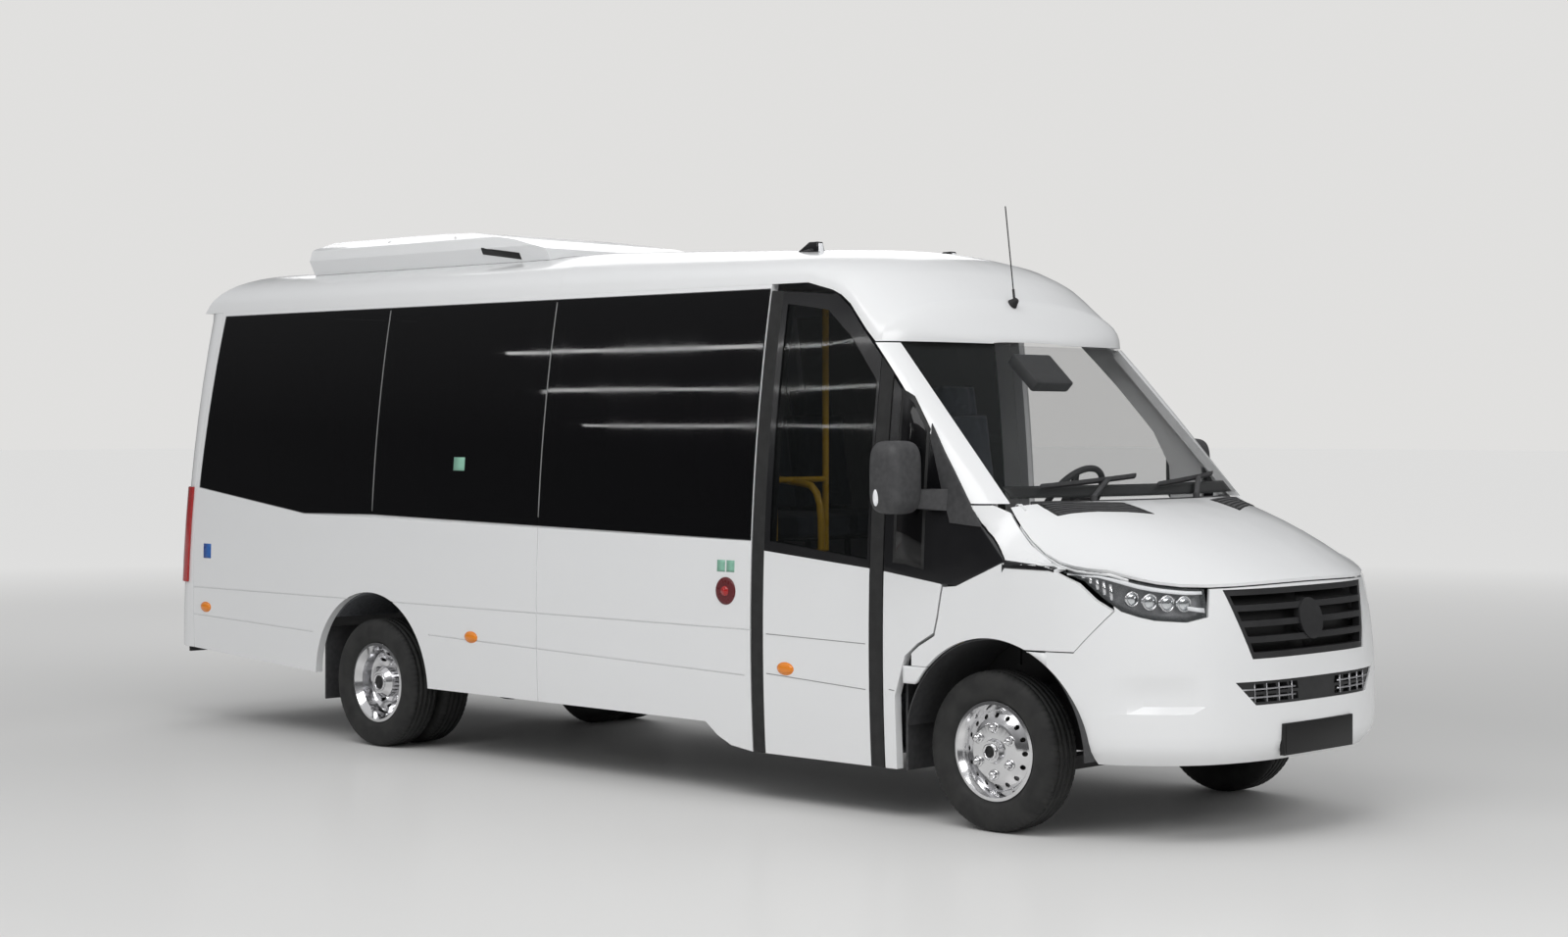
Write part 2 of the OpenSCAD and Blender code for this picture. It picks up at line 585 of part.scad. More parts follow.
module bonnet() {
    qs = [-1, -0.97, -0.93, -0.87, -0.78, -0.65, -0.5, -0.33, -0.16, 0, 0.16, 0.33, 0.5, 0.65, 0.78, 0.87, 0.93, 0.97, 1];
    vs = [0, 0.06, 0.14, 0.25, 0.4, 0.55, 0.7, 0.83, 0.93, 1];
    color("white") thick_patch([for (v = vs) [for (q = qs) bonnet_point(q, v, 0)]],
        [for (v = vs) [for (q = qs) bonnet_point(q, v, bonnet_t)]]);
    color("white") for (s = [-1, 1])
        hand(s) difference() {
            hull() {
                cross_cylinder(bonnet_axis_x, bonnet_axis_z, 11, -bonnet_pin_y - 33, -bonnet_pin_y - 6);
                span([xf + 94, -bonnet_pin_y - 33, 1384], [xf + 108, -bonnet_pin_y - 6, 1394]);
            }
            cross_cylinder(bonnet_axis_x, bonnet_axis_z, 6 + running, -bonnet_pin_y - 40, -bonnet_pin_y);
        }
}

module windscreen() {
    us = steps(-1, 1, 14);
    zs = steps(screen_top_z, screen_low_z, 6);
    color([0.3, 0.35, 0.38]) thick_patch([for (z = zs) [for (u = us) screen_point(u, z, 0)]],
        [for (z = zs) [for (u = us) screen_point(u, z, glass_t)]]);
}

// Hinge pins and brackets of the doors and the bonnet
driver_hinge_zs = [880, 1020];
bonnet_axis_x = bonnet_rear_x + 4;
bonnet_axis_z = 1408;
bonnet_pin_y = 812;
module door_hinges() {
    color("dimgray") {
        for (s = [-1, 1])
            hand(s) {
                rear_frame() for (z = rear_hinge_zs) {
                    translate([-rear_hinge_out, -rear_door_half, z - 31]) cylinder(r = 11, h = 30);
                    translate([-rear_hinge_out, -rear_door_half, z - 31]) cylinder(r = 6, h = 91);
                    span([-rear_hinge_out + 4, -rear_door_half - 42, z - 31], [0, -rear_door_half - 3, z - 1]);
                }
                span([bonnet_axis_x - 12, -bonnet_pin_y, cowl_z], [bonnet_axis_x + 12, -bonnet_pin_y + 12, bonnet_axis_z + 8]);
                cross_cylinder(bonnet_axis_x, bonnet_axis_z, 6, -bonnet_pin_y - 34, -bonnet_pin_y + 1);
            }
        for (z = driver_hinge_zs) {
            translate([hinge_x, hinge_y, z]) cylinder(r = 6, h = 20);
            translate([hinge_x, hinge_y, z]) cylinder(r = 3.5, h = 41);
            span([hinge_x - 6, 852, z], [hinge_x + 6, hinge_y, z + 20]);
            span([hinge_x - 6, 852, z], [hinge_x + 110, 869, z + 20]);
        }
    }
}

// Driver's door
driver_glass = concat([[driver_x0 + 60, belt_h + 20], [hinge_x - 260, 1110], [hinge_x - 120, 1100],
    [hinge_x - 120, 1560]], [for (p = pillar_border(1700, 2330, 0)) p + [-95, -70]], [[driver_x0 + 60, 2320]]);
module driver_door() {
    outline = concat([[driver_x0 + panel_gap, driver_low], [hinge_x - 238, driver_low]],
        [for (i = [1 : len(shut_line) - 1]) shut_line[i]], [[hinge_x + 65, 1400], [hinge_x + 70, 1552]],
        pillar_border(1600, 2400, panel_gap + 4), [[xf - 1165, gutter_h - panel_gap],
        [driver_x0 + panel_gap, gutter_h - panel_gap]]);
    color("white") hand(1) difference() {
        union() {
            difference() {
                side_panel(outline, 0, wall_t);
                side_prism(driver_glass, -body_w / 2 - 30, -body_w / 2 + 300);
            }
        }
        cross_cylinder(arch_front_x, arch_z, arch_r + 2, -body_w / 2 - 30, -body_w / 2 + 300);
        for (z = driver_hinge_zs)
            span([hinge_x - 14, -hinge_y - 7, z - 6], [hinge_x + 90, -hinge_y + 60, z + 47]);
    }
    color("white") for (z = driver_hinge_zs)
        difference() {
            union() {
                translate([hinge_x, hinge_y, z + 21]) cylinder(r = 6, h = 20);
                span([hinge_x - 18, hinge_y - 4, z + 21], [hinge_x - 4, hinge_y + 4, z + 41]);
            }
            translate([hinge_x, hinge_y, z + 20]) cylinder(r = 3.5 + running, h = 22);
        }
}

module driver_door_glass() {
    color("dimgray") hand(1) intersection() {
        side_panel(driver_glass, 6, 6 + glass_t);
        side_panel(driver_glass, 0, wall_t);
    }
}

// Bus door
leaf_x0 = door_x0 + panel_gap + seal_w;
leaf_x1 = door_x1 - panel_gap - seal_w;
leaf_top = [[door_x1 - panel_gap, 1990], [xf - 790, 2205], [xf - 876, 2298], [xf - 965, 2362],
    [door_x0 + panel_gap, gutter_h - 30]];
function leaf_top_z(x) = lookup(x, [for (i = [len(leaf_top) - 1 : -1 : 0]) leaf_top[i]]);
post_x = door_x0 + 62;
post_y = -905;
arm_zs = [430, belt_h - 178];
leaf_glass = [[leaf_x0 + 35, belt_h + 3], [leaf_x1 - 15, belt_h - 60], [leaf_x1 - 15, 1960], [xf - 840, 2156],
    [xf - 1013, 2292], [leaf_x0 + 35, 2328]];
module bus_door() {
    color("white") {
        difference() {
            side_panel([[leaf_x0, door_bottom], [leaf_x1, door_bottom], [leaf_x1, leaf_top_z(leaf_x1)], leaf_top[1],
                leaf_top[2], leaf_top[3], [leaf_x0, leaf_top_z(leaf_x0)]], 0, wall_t);
            side_prism(leaf_glass, -body_w / 2 - 30, -body_w / 2 + 300);
        }
        for (z = arm_zs)
            translate([post_x + arm_l, post_y, z - 36]) {
                cylinder(r = 8, h = 56);
                span([-20, -side_y(z) + wall_t - post_y - 10, 0], [20, 12, 15]);
            }
    }
}

module bus_door_glass() {
    color("dimgray") side_panel(leaf_glass, 6, 6 + glass_t);
}

module bus_door_seals() {
    color([0.05, 0.05, 0.05]) {
        side_panel([[leaf_x0 - seal_w, door_bottom], [leaf_x0 - clear, door_bottom],
            [leaf_x0 - clear, leaf_top_z(leaf_x0)], leaf_top[4]], 0, wall_t);
        side_panel([[leaf_x1 + clear, door_bottom], [leaf_x1 + seal_w, door_bottom], leaf_top[0],
            [leaf_x1 + clear, leaf_top_z(leaf_x1)]], 0, wall_t);
    }
}

module bar(a, b, w, h) {
    d = b - a;
    translate([a[0], a[1], 0]) rotate([0, 0, atan2(d[1], d[0])]) translate([0, -w / 2, 0]) cube([norm(d), w, h]);
}

arm_bend = [[0, 0], [70, 120], [300, 120], [arm_l, 0]];
module door_arms() {
    color("silver") {
        translate([post_x, post_y, step_low_z + clear]) cylinder(r = post_r, h = 1110 - step_low_z);
        for (z = arm_zs)
            translate([post_x, post_y, z - 20]) difference() {
                union() {
                    for (i = [0 : 2])
                        translate([0, 0, 3]) bar(arm_bend[i], arm_bend[i + 1], 22, 14);
                    for (i = [1 : 2])
                        translate([0, 0, 1]) translate(arm_bend[i]) cylinder(r = 14, h = 18);
                    translate(arm_bend[3]) cylinder(r = 17, h = 20);
                    translate([0, 0, -2]) cylinder(r = 24, h = 24);
                }
                translate([arm_l, 0, -1]) cylinder(r = 8 + running, h = 22);
            }
    }
}

step_low_z = 300;
step_mid_z = 510;
module step_well() {
    tread = 15;
    color("gray") translate([door_x0 + 8, 0, 0]) rotate([90, 0, 90]) linear_extrude(doorway_w - 16)
        polygon([[-938, step_low_z - tread], [-745, step_low_z - tread], [-745, step_mid_z - tread],
            [-520, step_mid_z - tread], [-520, floor_low], [-520 - tread, floor_low], [-520 - tread, step_mid_z],
            [-760, step_mid_z], [-760, step_low_z], [-938, step_low_z]]);
}

// Floor, frame and running gear
arch_inner = 540;
module floor() {
    half = side_y(floor_h) - wall_t - 2 * clear;
    door_half = half - panel_gap;
    cab_half = 535;
    cab_front = hinge_x + 110;
    color("gray") {
        difference() {
            translate([0, 0, floor_low]) linear_extrude(floor_t)
                polygon([[wall_rear - 90, -half + 40], [wall_rear, -half], [hinge_x - 190, -half], [hinge_x - 190, -cab_half],
                    [cab_front, -cab_half], [cab_front, cab_half], [hinge_x - 190, cab_half],
                    [hinge_x - 190, door_half], [driver_x0, door_half], [driver_x0, half], [wall_rear, half],
                    [wall_rear - 90, half - 40]]);
            span([door_x0 + 8, -body_w, 0], [door_x1 - 8, -520 - clear, floor_h + 1]);
            for (s = [-1, 1])
                hand(s) cross_cylinder(xr, arch_z, arch_r - 10, -body_w, -arch_inner);
        }
        for (s = [-1, 1])
            hand(s) intersection() {
                difference() {
                    cross_cylinder(xr, arch_z, arch_r, -half + 0.2, -arch_inner + 12);
                    cross_cylinder(xr, arch_z, arch_r - 10, -body_w, -arch_inner);
                }
                span([xr - 600, -body_w, floor_low], [xr + 600, 0, 1000]);
            }
    }
}

module chassis_frame() {
    front = xf + 690;
    rear = frame_rear;
    color("dimgray") {
        for (s = [-1, 1])
            hand(s) {
                span([rear, -rail_y - rail_w / 2, rail_low], [front, -rail_y + rail_w / 2, floor_low]);
                for (x = jack_xs)
                    translate([x, -rail_y, rail_low - 40]) cylinder(r = 40, h = 41);
            }
        for (x = [rear, wall_rear + 900, xr + 800, seam_x + 500, xf - 1300])
            span([x, -rail_y, rail_low + 20], [x + 70, rail_y, floor_low - 20]);
        span([front - 60, -rail_y, rail_low], [front, rail_y, floor_low]);
        difference() {
            span([rear, tow_y - 30, tow_z - 30], [rear + tow_l, tow_y + 30, rail_low + 40]);
            translate([rear - 1, tow_y, tow_z]) rotate([0, 90, 0]) cylinder(r = tow_r, h = tow_l + 2);
        }
    }
}
jack_xs = [xr + 900, xf - 900];
tow_r = 12;
tow_l = 60;
tow_y = -300;
tow_z = 455;

module engine() {
    color("gray") {
        span([xf - 90, -290, 440], [xf + 540, 290, 1110]);
        for (s = [-1, 1])
            hand(s) span([xf + 200, -rail_y + rail_w / 2, 570], [xf + 320, -289, 640]);
    }
}

module fuel_tank() {
    color([0.15, 0.15, 0.15]) difference() {
        span([xr + 2000, 500, 400], [xr + 2800, 860, floor_low]);
        for (y = [500, 860])
            translate([xr + 1990, y, 400]) rotate([45, 0, 0]) translate([0, -50, -50]) cube([820, 100, 100]);
    }
}

module exhaust() {
    color("darkgray") {
        translate([xr + 900, -640, 480]) rotate([0, 90, 0]) cylinder(r = 105, h = 750);
        translate([xr + 600, -640, 480]) rotate([0, 90, 0]) cylinder(r = 32, h = 1700);
        span([xr + 1250, -650, 560], [xr + 1280, -630, floor_low]);
    }
}

module front_axle() {
    color("dimgray") {
        span([xf - 45, -640, 225], [xf + 45, 640, 285]);
        for (s = [-1, 1])
            hand(s) {
                span([xf - 35, -680, 225], [xf + 35, -625, axle_z + 95]);
                for (z = [axle_z - 95, axle_z + 65]) {
                    span([xf - 32, -kingpin_y, z], [xf + 32, -640, z + 30]);
                    translate([xf, -kingpin_y, z]) cylinder(r = 32, h = 30);
                }
                translate([xf, -kingpin_y, axle_z - 95]) cylinder(r = kingpin_r, h = 190);
                translate([xf, -590, 284]) cylinder(r = 40, h = rail_low + 60 - 284);
                span([xf - 60, -600, rail_low + 20], [xf + 60, -rail_y - rail_w / 2, rail_low + 80]);
            }
    }
}

module knuckle() {
    difference() {
        union() {
            translate([xf, -kingpin_y, axle_z - 64]) cylinder(r = 32, h = 128);
            cross_cylinder(xf, axle_z, spindle_r + 10, -kingpin_y - 50, -kingpin_y);
            cross_cylinder(xf, axle_z, spindle_r, -front_track / 2 - 60, -kingpin_y);
            span([xf - 150, -kingpin_y - 15, axle_z - 60], [xf, -kingpin_y + 15, axle_z - 30]);
        }
        translate([xf, -kingpin_y, 0]) cylinder(r = kingpin_r + running, h = 800);
    }
}

module knuckle_right() {
    color("dimgray") knuckle();
}

module knuckle_left() {
    color("dimgray") hand(1) knuckle();
}

module rear_axle() {
    spring_r = 2300;
    spring_low = axle_z + 55;
    color("dimgray") {
        cross_cylinder(xr, axle_z, 50, -640, 640);
        cross_cylinder(xr, axle_z, spindle_r, -rear_track / 2 - 40, rear_track / 2 + 40);
        translate([xr, 0, axle_z]) sphere(r = 165);
        for (s = [-1, 1])
            hand(s) {
                intersection() {
                    translate([xr, -rail_y, spring_low + spring_r]) rotate([90, 0, 0]) difference() {
                        cylinder(r = spring_r, h = 64, center = true, $fn = 256);
                        cylinder(r = spring_r - 34, h = 80, center = true, $fn = 256);
                    }
                    span([xr - 640, -body_w, 0], [xr + 640, 0, 640]);
                }
                span([xr - 60, -rail_y - 40, axle_z], [xr + 60, -rail_y + 40, spring_low + 20]);
                for (x = [-620, 620])
                    span([xr + x - 25, -rail_y - 30, spring_low + 70], [xr + x + 25, -rail_y + 30, rail_low]);
            }
    }
}

tyre_profile = [[rim_d / 2 + clear, -60], [rim_d / 2 + 14, -62], [rim_d / 2 + 22, -80], [rim_d / 2 + 62, -tyre_w / 2],
    [tyre_d / 2 - 45, -tyre_w / 2 + 3], [tyre_d / 2 - 10, -tyre_w / 2 + 20], [tyre_d / 2, -tyre_w / 2 + 36],
    [tyre_d / 2, tyre_w / 2 - 36], [tyre_d / 2 - 10, tyre_w / 2 - 20], [tyre_d / 2 - 45, tyre_w / 2 - 3],
    [rim_d / 2 + 62, tyre_w / 2], [rim_d / 2 + 22, 80], [rim_d / 2 + 14, 62], [rim_d / 2 + clear, 60]];
module tyre() {
    rotate_extrude() polygon(tyre_profile);
}

module rim_barrel() {
    b = rim_d / 2;
    rotate_extrude() polygon([[b, -61], [b + 13, -63], [b + 13, -70], [b - 2, -72], [b - 16, -52], [b - 26, -36],
        [b - 26, 36], [b - 16, 52], [b - 2, 72], [b + 13, 70], [b + 13, 63], [b, 61], [b - 8, 46], [b - 18, 32],
        [b - 18, -32], [b - 8, -46]]);
}

// Pressed wheel disc: rim_z is where it meets the barrel, face_z where it bolts to the hub
module rim_disc(rim_z, face_z) {
    b = rim_d / 2 - 19;
    difference() {
        rotate_extrude() polygon([[b, rim_z - 5], [b, rim_z + 5], [b - 40, mix(rim_z, face_z, 0.65) + 5],
            [b - 70, face_z + 5], [20, face_z + 5], [20, face_z - 5], [b - 70, face_z - 5],
            [b - 40, mix(rim_z, face_z, 0.65) - 5]]);
        for (i = [0 : 15])
            rotate([0, 0, i * 22.5]) translate([b - 30, 0, min(rim_z, face_z) - 60]) cylinder(r = 11, h = abs(rim_z - face_z) + 120, $fn = 32);
    }
}

module front_rim() {
    difference() {
        union() {
            rim_barrel();
            rim_disc(20, 58);
            translate([0, 0, -30]) cylinder(r = 62, h = 90);
            translate([0, 0, 58]) cylinder(r1 = 58, r2 = 46, h = 30);
        }
        translate([0, 0, -200]) cylinder(r = spindle_r + running, h = 261);
    }
}

module twin_rims() {
    difference() {
        union() {
            rim_barrel();
            rim_disc(-20, -twin_gap / 2 + 5);
            translate([0, 0, -twin_gap]) {
                rim_barrel();
                rim_disc(20, twin_gap / 2 - 5);
            }
            translate([0, 0, -twin_gap / 2 - 60]) cylinder(r = 85, h = 200);
            translate([0, 0, -twin_gap / 2 + 139]) cylinder(r1 = 85, r2 = 60, h = 25);
        }
        translate([0, 0, -400]) cylinder(r = spindle_r + running, h = 440 + 1);
    }
}

// Puts a wheel, modelled along +Z pointing outward, on the right (-1) or left (1)
module on_axle(x, y, s) {
    translate([x, s * y, axle_z]) rotate([-s * 90, 0, 0]) children();
}

module front_rim_right() {
    color("silver") on_axle(xf, front_track / 2, -1) front_rim();
}

module front_rim_left() {
    color("silver") on_axle(xf, front_track / 2, 1) front_rim();
}

module front_tyre_right() {
    color([0.1, 0.1, 0.1]) on_axle(xf, front_track / 2, -1) tyre();
}

module front_tyre_left() {
    color([0.1, 0.1, 0.1]) on_axle(xf, front_track / 2, 1) tyre();
}

module twin_tyres() {
    tyre();
    translate([0, 0, -twin_gap]) tyre();
}

module rear_rims_right() {
    color("silver") on_axle(xr, rear_track / 2, -1) twin_rims();
}

module rear_rims_left() {
    color("silver") on_axle(xr, rear_track / 2, 1) twin_rims();
}

module rear_tyres_right() {
    color([0.1, 0.1, 0.1]) on_axle(xr, rear_track / 2, -1) twin_tyres();
}

module rear_tyres_left() {
    color([0.1, 0.1, 0.1]) on_axle(xr, rear_track / 2, 1) twin_tyres();
}

// Front end structure and cab fittings
// Scuttle panel from the windscreen's foot (0) to the bonnet's rear edge (1)
scuttle_qs = steps(-0.86, 0.86, 12);
function scuttle_point(q, k, d) = let(b = bonnet_point(q, 0, 0), w = screen_point(b[1] / screen_low_y, screen_low_z, 0))
    [mix(w[0] + 2, b[0] - 10, k), b[1], mix(screen_low_z - 14, b[2] - 26, k) - d];
module front_bulkhead() {
    x = hinge_x + 110;
    color("dimgray") {
        difference() {
            span([x, -870, floor_low], [x + 20, 870, cowl_z - 20]);
            for (s = [-1, 1])
                hand(s) cross_cylinder(arch_front_x, arch_z, arch_r + clear, -body_w, -555);
        }
        translate([0, 0, cowl_z - 20]) linear_extrude(20)
            polygon(concat([[x, -870], [x, 870]], [for (q = [0.97, 0.6, 0.3, 0, -0.3, -0.6, -0.97])
                [bonnet_point(q, 0, 0)[0] + (abs(q) > 0.9 ? 0 : 40), q * 860]]));
        difference() {
            thick_patch([for (k = [0, 1]) [for (q = scuttle_qs) scuttle_point(q, k, 0)]],
                [for (k = [0, 1]) [for (q = scuttle_qs) scuttle_point(q, k, 10)]]);
            wiper_posts(wiper_post_r + 2 * clear);
        }
        for (s = [-1, 1])
            hand(s) span([xf + 60, -500, cowl_z - 1], [xf + 110, -480, 1418]);
    }
}

module arch_liners() {
    color([0.08, 0.08, 0.08]) for (s = [-1, 1])
        hand(s) {
            intersection() {
                difference() {
                    cross_cylinder(arch_front_x, arch_z, arch_r - 1, -side_y(waist_h) + skin_t + 4, -560);
                    cross_cylinder(arch_front_x, arch_z, arch_r - 9, -body_w, -500);
                }
                union() {
                    span([hinge_x - 165, -body_w, 420], [xf + 800, 0, 900]);
                    span([arch_front_x + 200, -body_w, 352], [xf + 800, 0, 500]);
                }
            }
            span([hinge_x - 205, -950, 226], [hinge_x - 191, -760, floor_low]);
            span([xr - 470, -960, 226], [xr - 458, -560, floor_low - 60]);
        }
}

module dashboard() {
    x = hinge_x + 110;
    color([0.2, 0.2, 0.21]) translate([0, 850, 0]) rotate([90, 0, 0]) linear_extrude(1700)
        polygon([[x - clear, 950], [x - clear, 1325], [x - 60, 1330], [x - 200, 1320], [x - 300, 1270],
            [x - 320, 1180], [x - 240, 1050], [x - 120, 960]]);
    color([0.2, 0.2, 0.21]) translate(wheel_center) rotate([0, -wheel_tilt, 0]) {
        translate([0, 0, -110]) cylinder(r = 15, h = 88);
        translate([0, 0, -270]) cylinder(r = 40, h = 205);
    }
}

wheel_center = [hinge_x - 335, 430, 1395];
wheel_tilt = 55;
module steering_wheel() {
    color([0.15, 0.15, 0.15]) translate(wheel_center) rotate([0, -wheel_tilt, 0]) {
        rotate_extrude() translate([190, 0]) circle(r = 16);
        cylinder(r = 60, h = 40, center = true);
        for (a = [0, 120, 240])
            rotate([0, 0, a + 90]) translate([40, -18, -8]) cube([140, 36, 16]);
        difference() {
            translate([0, 0, -60]) cylinder(r = 24, h = 60);
            translate([0, 0, -61]) cylinder(r = 15 + clear, h = 45);
        }
    }
}

module seat(leg_y) {
    rotate([90, 0, 0]) linear_extrude(440, center = true)
        polygon([[-240, 330], [230, 350], [250, 400], [225, 445], [-150, 430], [-255, 1080], [-300, 1130],
            [-345, 1120], [-350, 1060], [-290, 420]]);
    span([-150, leg_y - 12, 0], [150, leg_y + 12, 340]);
}

module seats() {
    rows = [for (i = [0 : 4]) xr - 880 + i * 730];
    color([0.25, 0.27, 0.32]) {
        for (x = rows, p = [[-650, 140], [230, 0], [675, -165]])
            translate([x, p[0], floor_h]) seat(p[1]);
        translate([hinge_x - 780, 430, floor_h]) seat(0);
    }
}

module handrails() {
    color("gold") {
        translate([door_x0 - 20, -470, floor_h]) cylinder(r = 16, h = roof_h - 360 - floor_h);
        translate([door_x1 + 10, -480, floor_h]) cylinder(r = 16, h = 900);
        translate([door_x0 - 20, -470, 1500]) rotate([90, 0, 0]) cylinder(r = 14, h = 380);
    }
}

module air_conditioner() {
    x0 = xr - 1090;
    x1 = xr + 1010;
    half = 620;
    flat = [for (p = roof_section(side_y(gutter_h), roof_h - gutter_h)) if (abs(p[0]) < half) [p[0], p[1] + clear]];
    color("white") intersection() {
        translate([x0, 0, 0]) rotate([90, 0, 90]) linear_extrude(x1 - x0)
            polygon(concat(flat, [[half, roof_h + 40], [half - 20, roof_h + 100], [half - 120, roof_h + 150],
                [0, roof_h + 165], [-half + 120, roof_h + 150], [-half + 20, roof_h + 100], [-half, roof_h + 40]]));
        side_prism([[x0, gutter_h], [x1, gutter_h], [x1, roof_h + 20], [x1 - 260, roof_h + 80],
            [x1 - 700, roof_h + 140], [x1 - 1300, roof_h + 160], [x0 + 80, roof_h + 150], [x0, roof_h + 110]],
            -body_w, body_w);
    }
}

module antenna() {
    x = xf - 640;
    slope = atan2(roof_top(x - 30) - roof_top(x + 30), 60);
    color([0.05, 0.05, 0.05]) translate([x, 0, roof_top(x)]) {
        rotate([0, slope, 0]) translate([0, 0, 0.2]) cylinder(r1 = 26, r2 = 12, h = 34);
        rotate([0, -7, 0]) translate([14, 0, 20]) {
            cylinder(r = 6, h = 50);
            cylinder(r = 3, h = 450);
        }
    }
}

// Wiper arms and blades, lying on the foot of the windscreen
function blade_point(u, z, out, rise) = screen_point(u, z, -out) + [0, 0, rise];
module wiper(u0, u1, rise) {
    us = steps(u0, u1, 8);
    zs = [for (i = [0 : 8]) screen_low_z + 34 + rise * i / 8];
    thick_patch([for (w = [16, 0]) [for (i = [0 : 8]) blade_point(us[i], zs[i], 15, w)]],
        [for (w = [16, 0]) [for (i = [0 : 8]) blade_point(us[i], zs[i], 0.6, w)]]);
}

wiper_post_r = 16;
module wiper_posts(r) {
    for (y = [-430, 330])
        translate([bonnet_point(y / bonnet_half, 0, 0)[0] - 30, y, cowl_z]) cylinder(r = r, h = 100);
}

module wiper_arm(y, u) {
    hull() {
        translate([bonnet_point(y / bonnet_half, 0, 0)[0] - 30, y, cowl_z + 86]) cylinder(r = 11, h = 12);
        translate(blade_point(u, screen_low_z + 58, 14, 8)) cube([12, 24, 10], center = true);
    }
}

module wipers() {
    color([0.05, 0.05, 0.05]) {
        wiper_posts(wiper_post_r);
        wiper(-0.78, -0.05, 40);
        wiper(0.08, 0.8, 40);
        wiper_arm(-430, -0.3);
        wiper_arm(330, 0.56);
    }
}

roof_lamp_x = xf - 1480;
module marker_lamps() {
    color("black") for (s = [-1, 1])
        hand(s) translate([roof_lamp_x, -500, roof_top(roof_lamp_x) - 19]) hull() {
            translate([-60, -22, 0]) cube([70, 44, 18]);
            translate([20, -20, 0]) cube([40, 40, 44]);
        }
    color("orange") for (s = [-1, 1], p = [[wall_rear + 127, 689], [xr + 875, 651]])
        hand(s) intersection() {
            translate([p[0], 0, p[1]]) rotate([90, 0, 0]) cylinder(r = 32, h = body_w);
            side_panel([for (d = [[-40, -20], [40, -20], [40, 20], [-40, 20]]) p + d], -10, -clear);
        }
}

mirror_low = 1395;
mirror_top = 1680;
module mirror_body() {
    foot_z = mirror_low + 45;
    color([0.12, 0.12, 0.13]) difference() {
        union() {
            hull() {
                for (y = [-1112, -1228], x = [xf - 392, xf - 310])
                    translate([x, y, mirror_low + 28]) sphere(r = 28, $fn = 20);
                for (y = [-1118, -1215], x = [xf - 388, xf - 318])
                    translate([x, y, mirror_top - 34]) sphere(r = 34, $fn = 20);
            }
            hull() {
                translate([xf - 360, -1120, foot_z]) cube([40, 20, 72], center = true);
                translate([xf - 250, -side_y(foot_z) + 10, foot_z - 6]) cube([100, 20, 96], center = true);
            }
        }
        side_panel([[xf - 600, 1200], [xf, 1200], [xf, 1800], [xf - 600, 1800]], 0, 200);
    }
}

module mirror_right() {
    mirror_body();
}

module mirror_left() {
    hand(1) translate([-100, 0, 0]) mirror_body();
}

chassis_frame();
floor();
step_well();
side_wall_right();
side_wall_left();
roof_rear();
roof_front();
rear_pillars();
cab_side_right();
cab_trim();
a_pillars();
front_wings();
front_bumper();
grille();
headlamps();
windscreen();
side_windows_right();
side_windows_left();
tail_lamps();
marker_lamps();
mirror_right();
front_bulkhead();
arch_liners();
dashboard();
door_hinges();
seats();
handrails();
air_conditioner();
antenna();
wipers();
engine();
exhaust();
fuel_tank();
front_axle();
rear_axle();
rear_bumper();
knuckle_right();
knuckle_left();
front_rim_right();
front_rim_left();
front_tyre_right();
front_tyre_left();
rear_rims_right();
rear_rims_left();
rear_tyres_right();
rear_tyres_left();
driver_door();
driver_door_glass();
mirror_left();
bus_door();
bus_door_glass();
bus_door_seals();
door_arms();
rear_door_right();
rear_door_left();
rear_glass_right();
rear_glass_left();
bonnet();
steering_wheel();
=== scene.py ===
"""Dresses the airport shuttle minibus: materials, fittings, wheels, lamps, seats, floor, light and camera."""
import bpy
import json
import math
from mathutils import Matrix, Vector
from mathutils.bvhtree import BVHTree


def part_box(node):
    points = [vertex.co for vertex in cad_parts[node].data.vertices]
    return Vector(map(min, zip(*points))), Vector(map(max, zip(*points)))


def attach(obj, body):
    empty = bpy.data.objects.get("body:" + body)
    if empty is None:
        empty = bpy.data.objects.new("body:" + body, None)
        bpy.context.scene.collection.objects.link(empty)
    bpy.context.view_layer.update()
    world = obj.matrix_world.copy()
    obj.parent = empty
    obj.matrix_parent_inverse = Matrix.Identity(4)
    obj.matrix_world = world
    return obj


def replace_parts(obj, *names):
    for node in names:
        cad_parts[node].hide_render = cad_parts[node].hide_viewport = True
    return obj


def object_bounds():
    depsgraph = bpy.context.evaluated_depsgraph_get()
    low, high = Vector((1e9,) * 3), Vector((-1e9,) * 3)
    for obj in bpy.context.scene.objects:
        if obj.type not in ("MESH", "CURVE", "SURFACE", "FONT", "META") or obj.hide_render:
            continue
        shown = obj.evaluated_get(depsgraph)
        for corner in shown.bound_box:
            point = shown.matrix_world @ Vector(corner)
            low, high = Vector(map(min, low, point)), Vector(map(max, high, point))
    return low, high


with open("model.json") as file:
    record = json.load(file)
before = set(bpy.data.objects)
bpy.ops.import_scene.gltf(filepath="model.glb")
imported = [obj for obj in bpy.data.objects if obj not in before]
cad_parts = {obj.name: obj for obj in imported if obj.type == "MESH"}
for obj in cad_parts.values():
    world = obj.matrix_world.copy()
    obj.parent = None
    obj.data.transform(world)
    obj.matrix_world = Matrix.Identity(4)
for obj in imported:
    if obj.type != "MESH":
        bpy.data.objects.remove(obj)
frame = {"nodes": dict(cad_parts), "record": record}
NODES = frame["nodes"]
CAD_BOX = [list(corner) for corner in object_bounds()]
SCENE = bpy.context.scene

# Photograph's camera: place, heading, lens and the horizon's height in a 1600 by 956 frame
CAMERA_AT = Vector((9.6965, -9.577, 1.764))
CAMERA_HEADING = Vector((-0.693, 0.721, 0.0))
FOCAL_MM = 59.07
SENSOR_MM = 36.0
PHOTO_W = 1600
PHOTO_H = 956
HORIZON_PX = 432.9


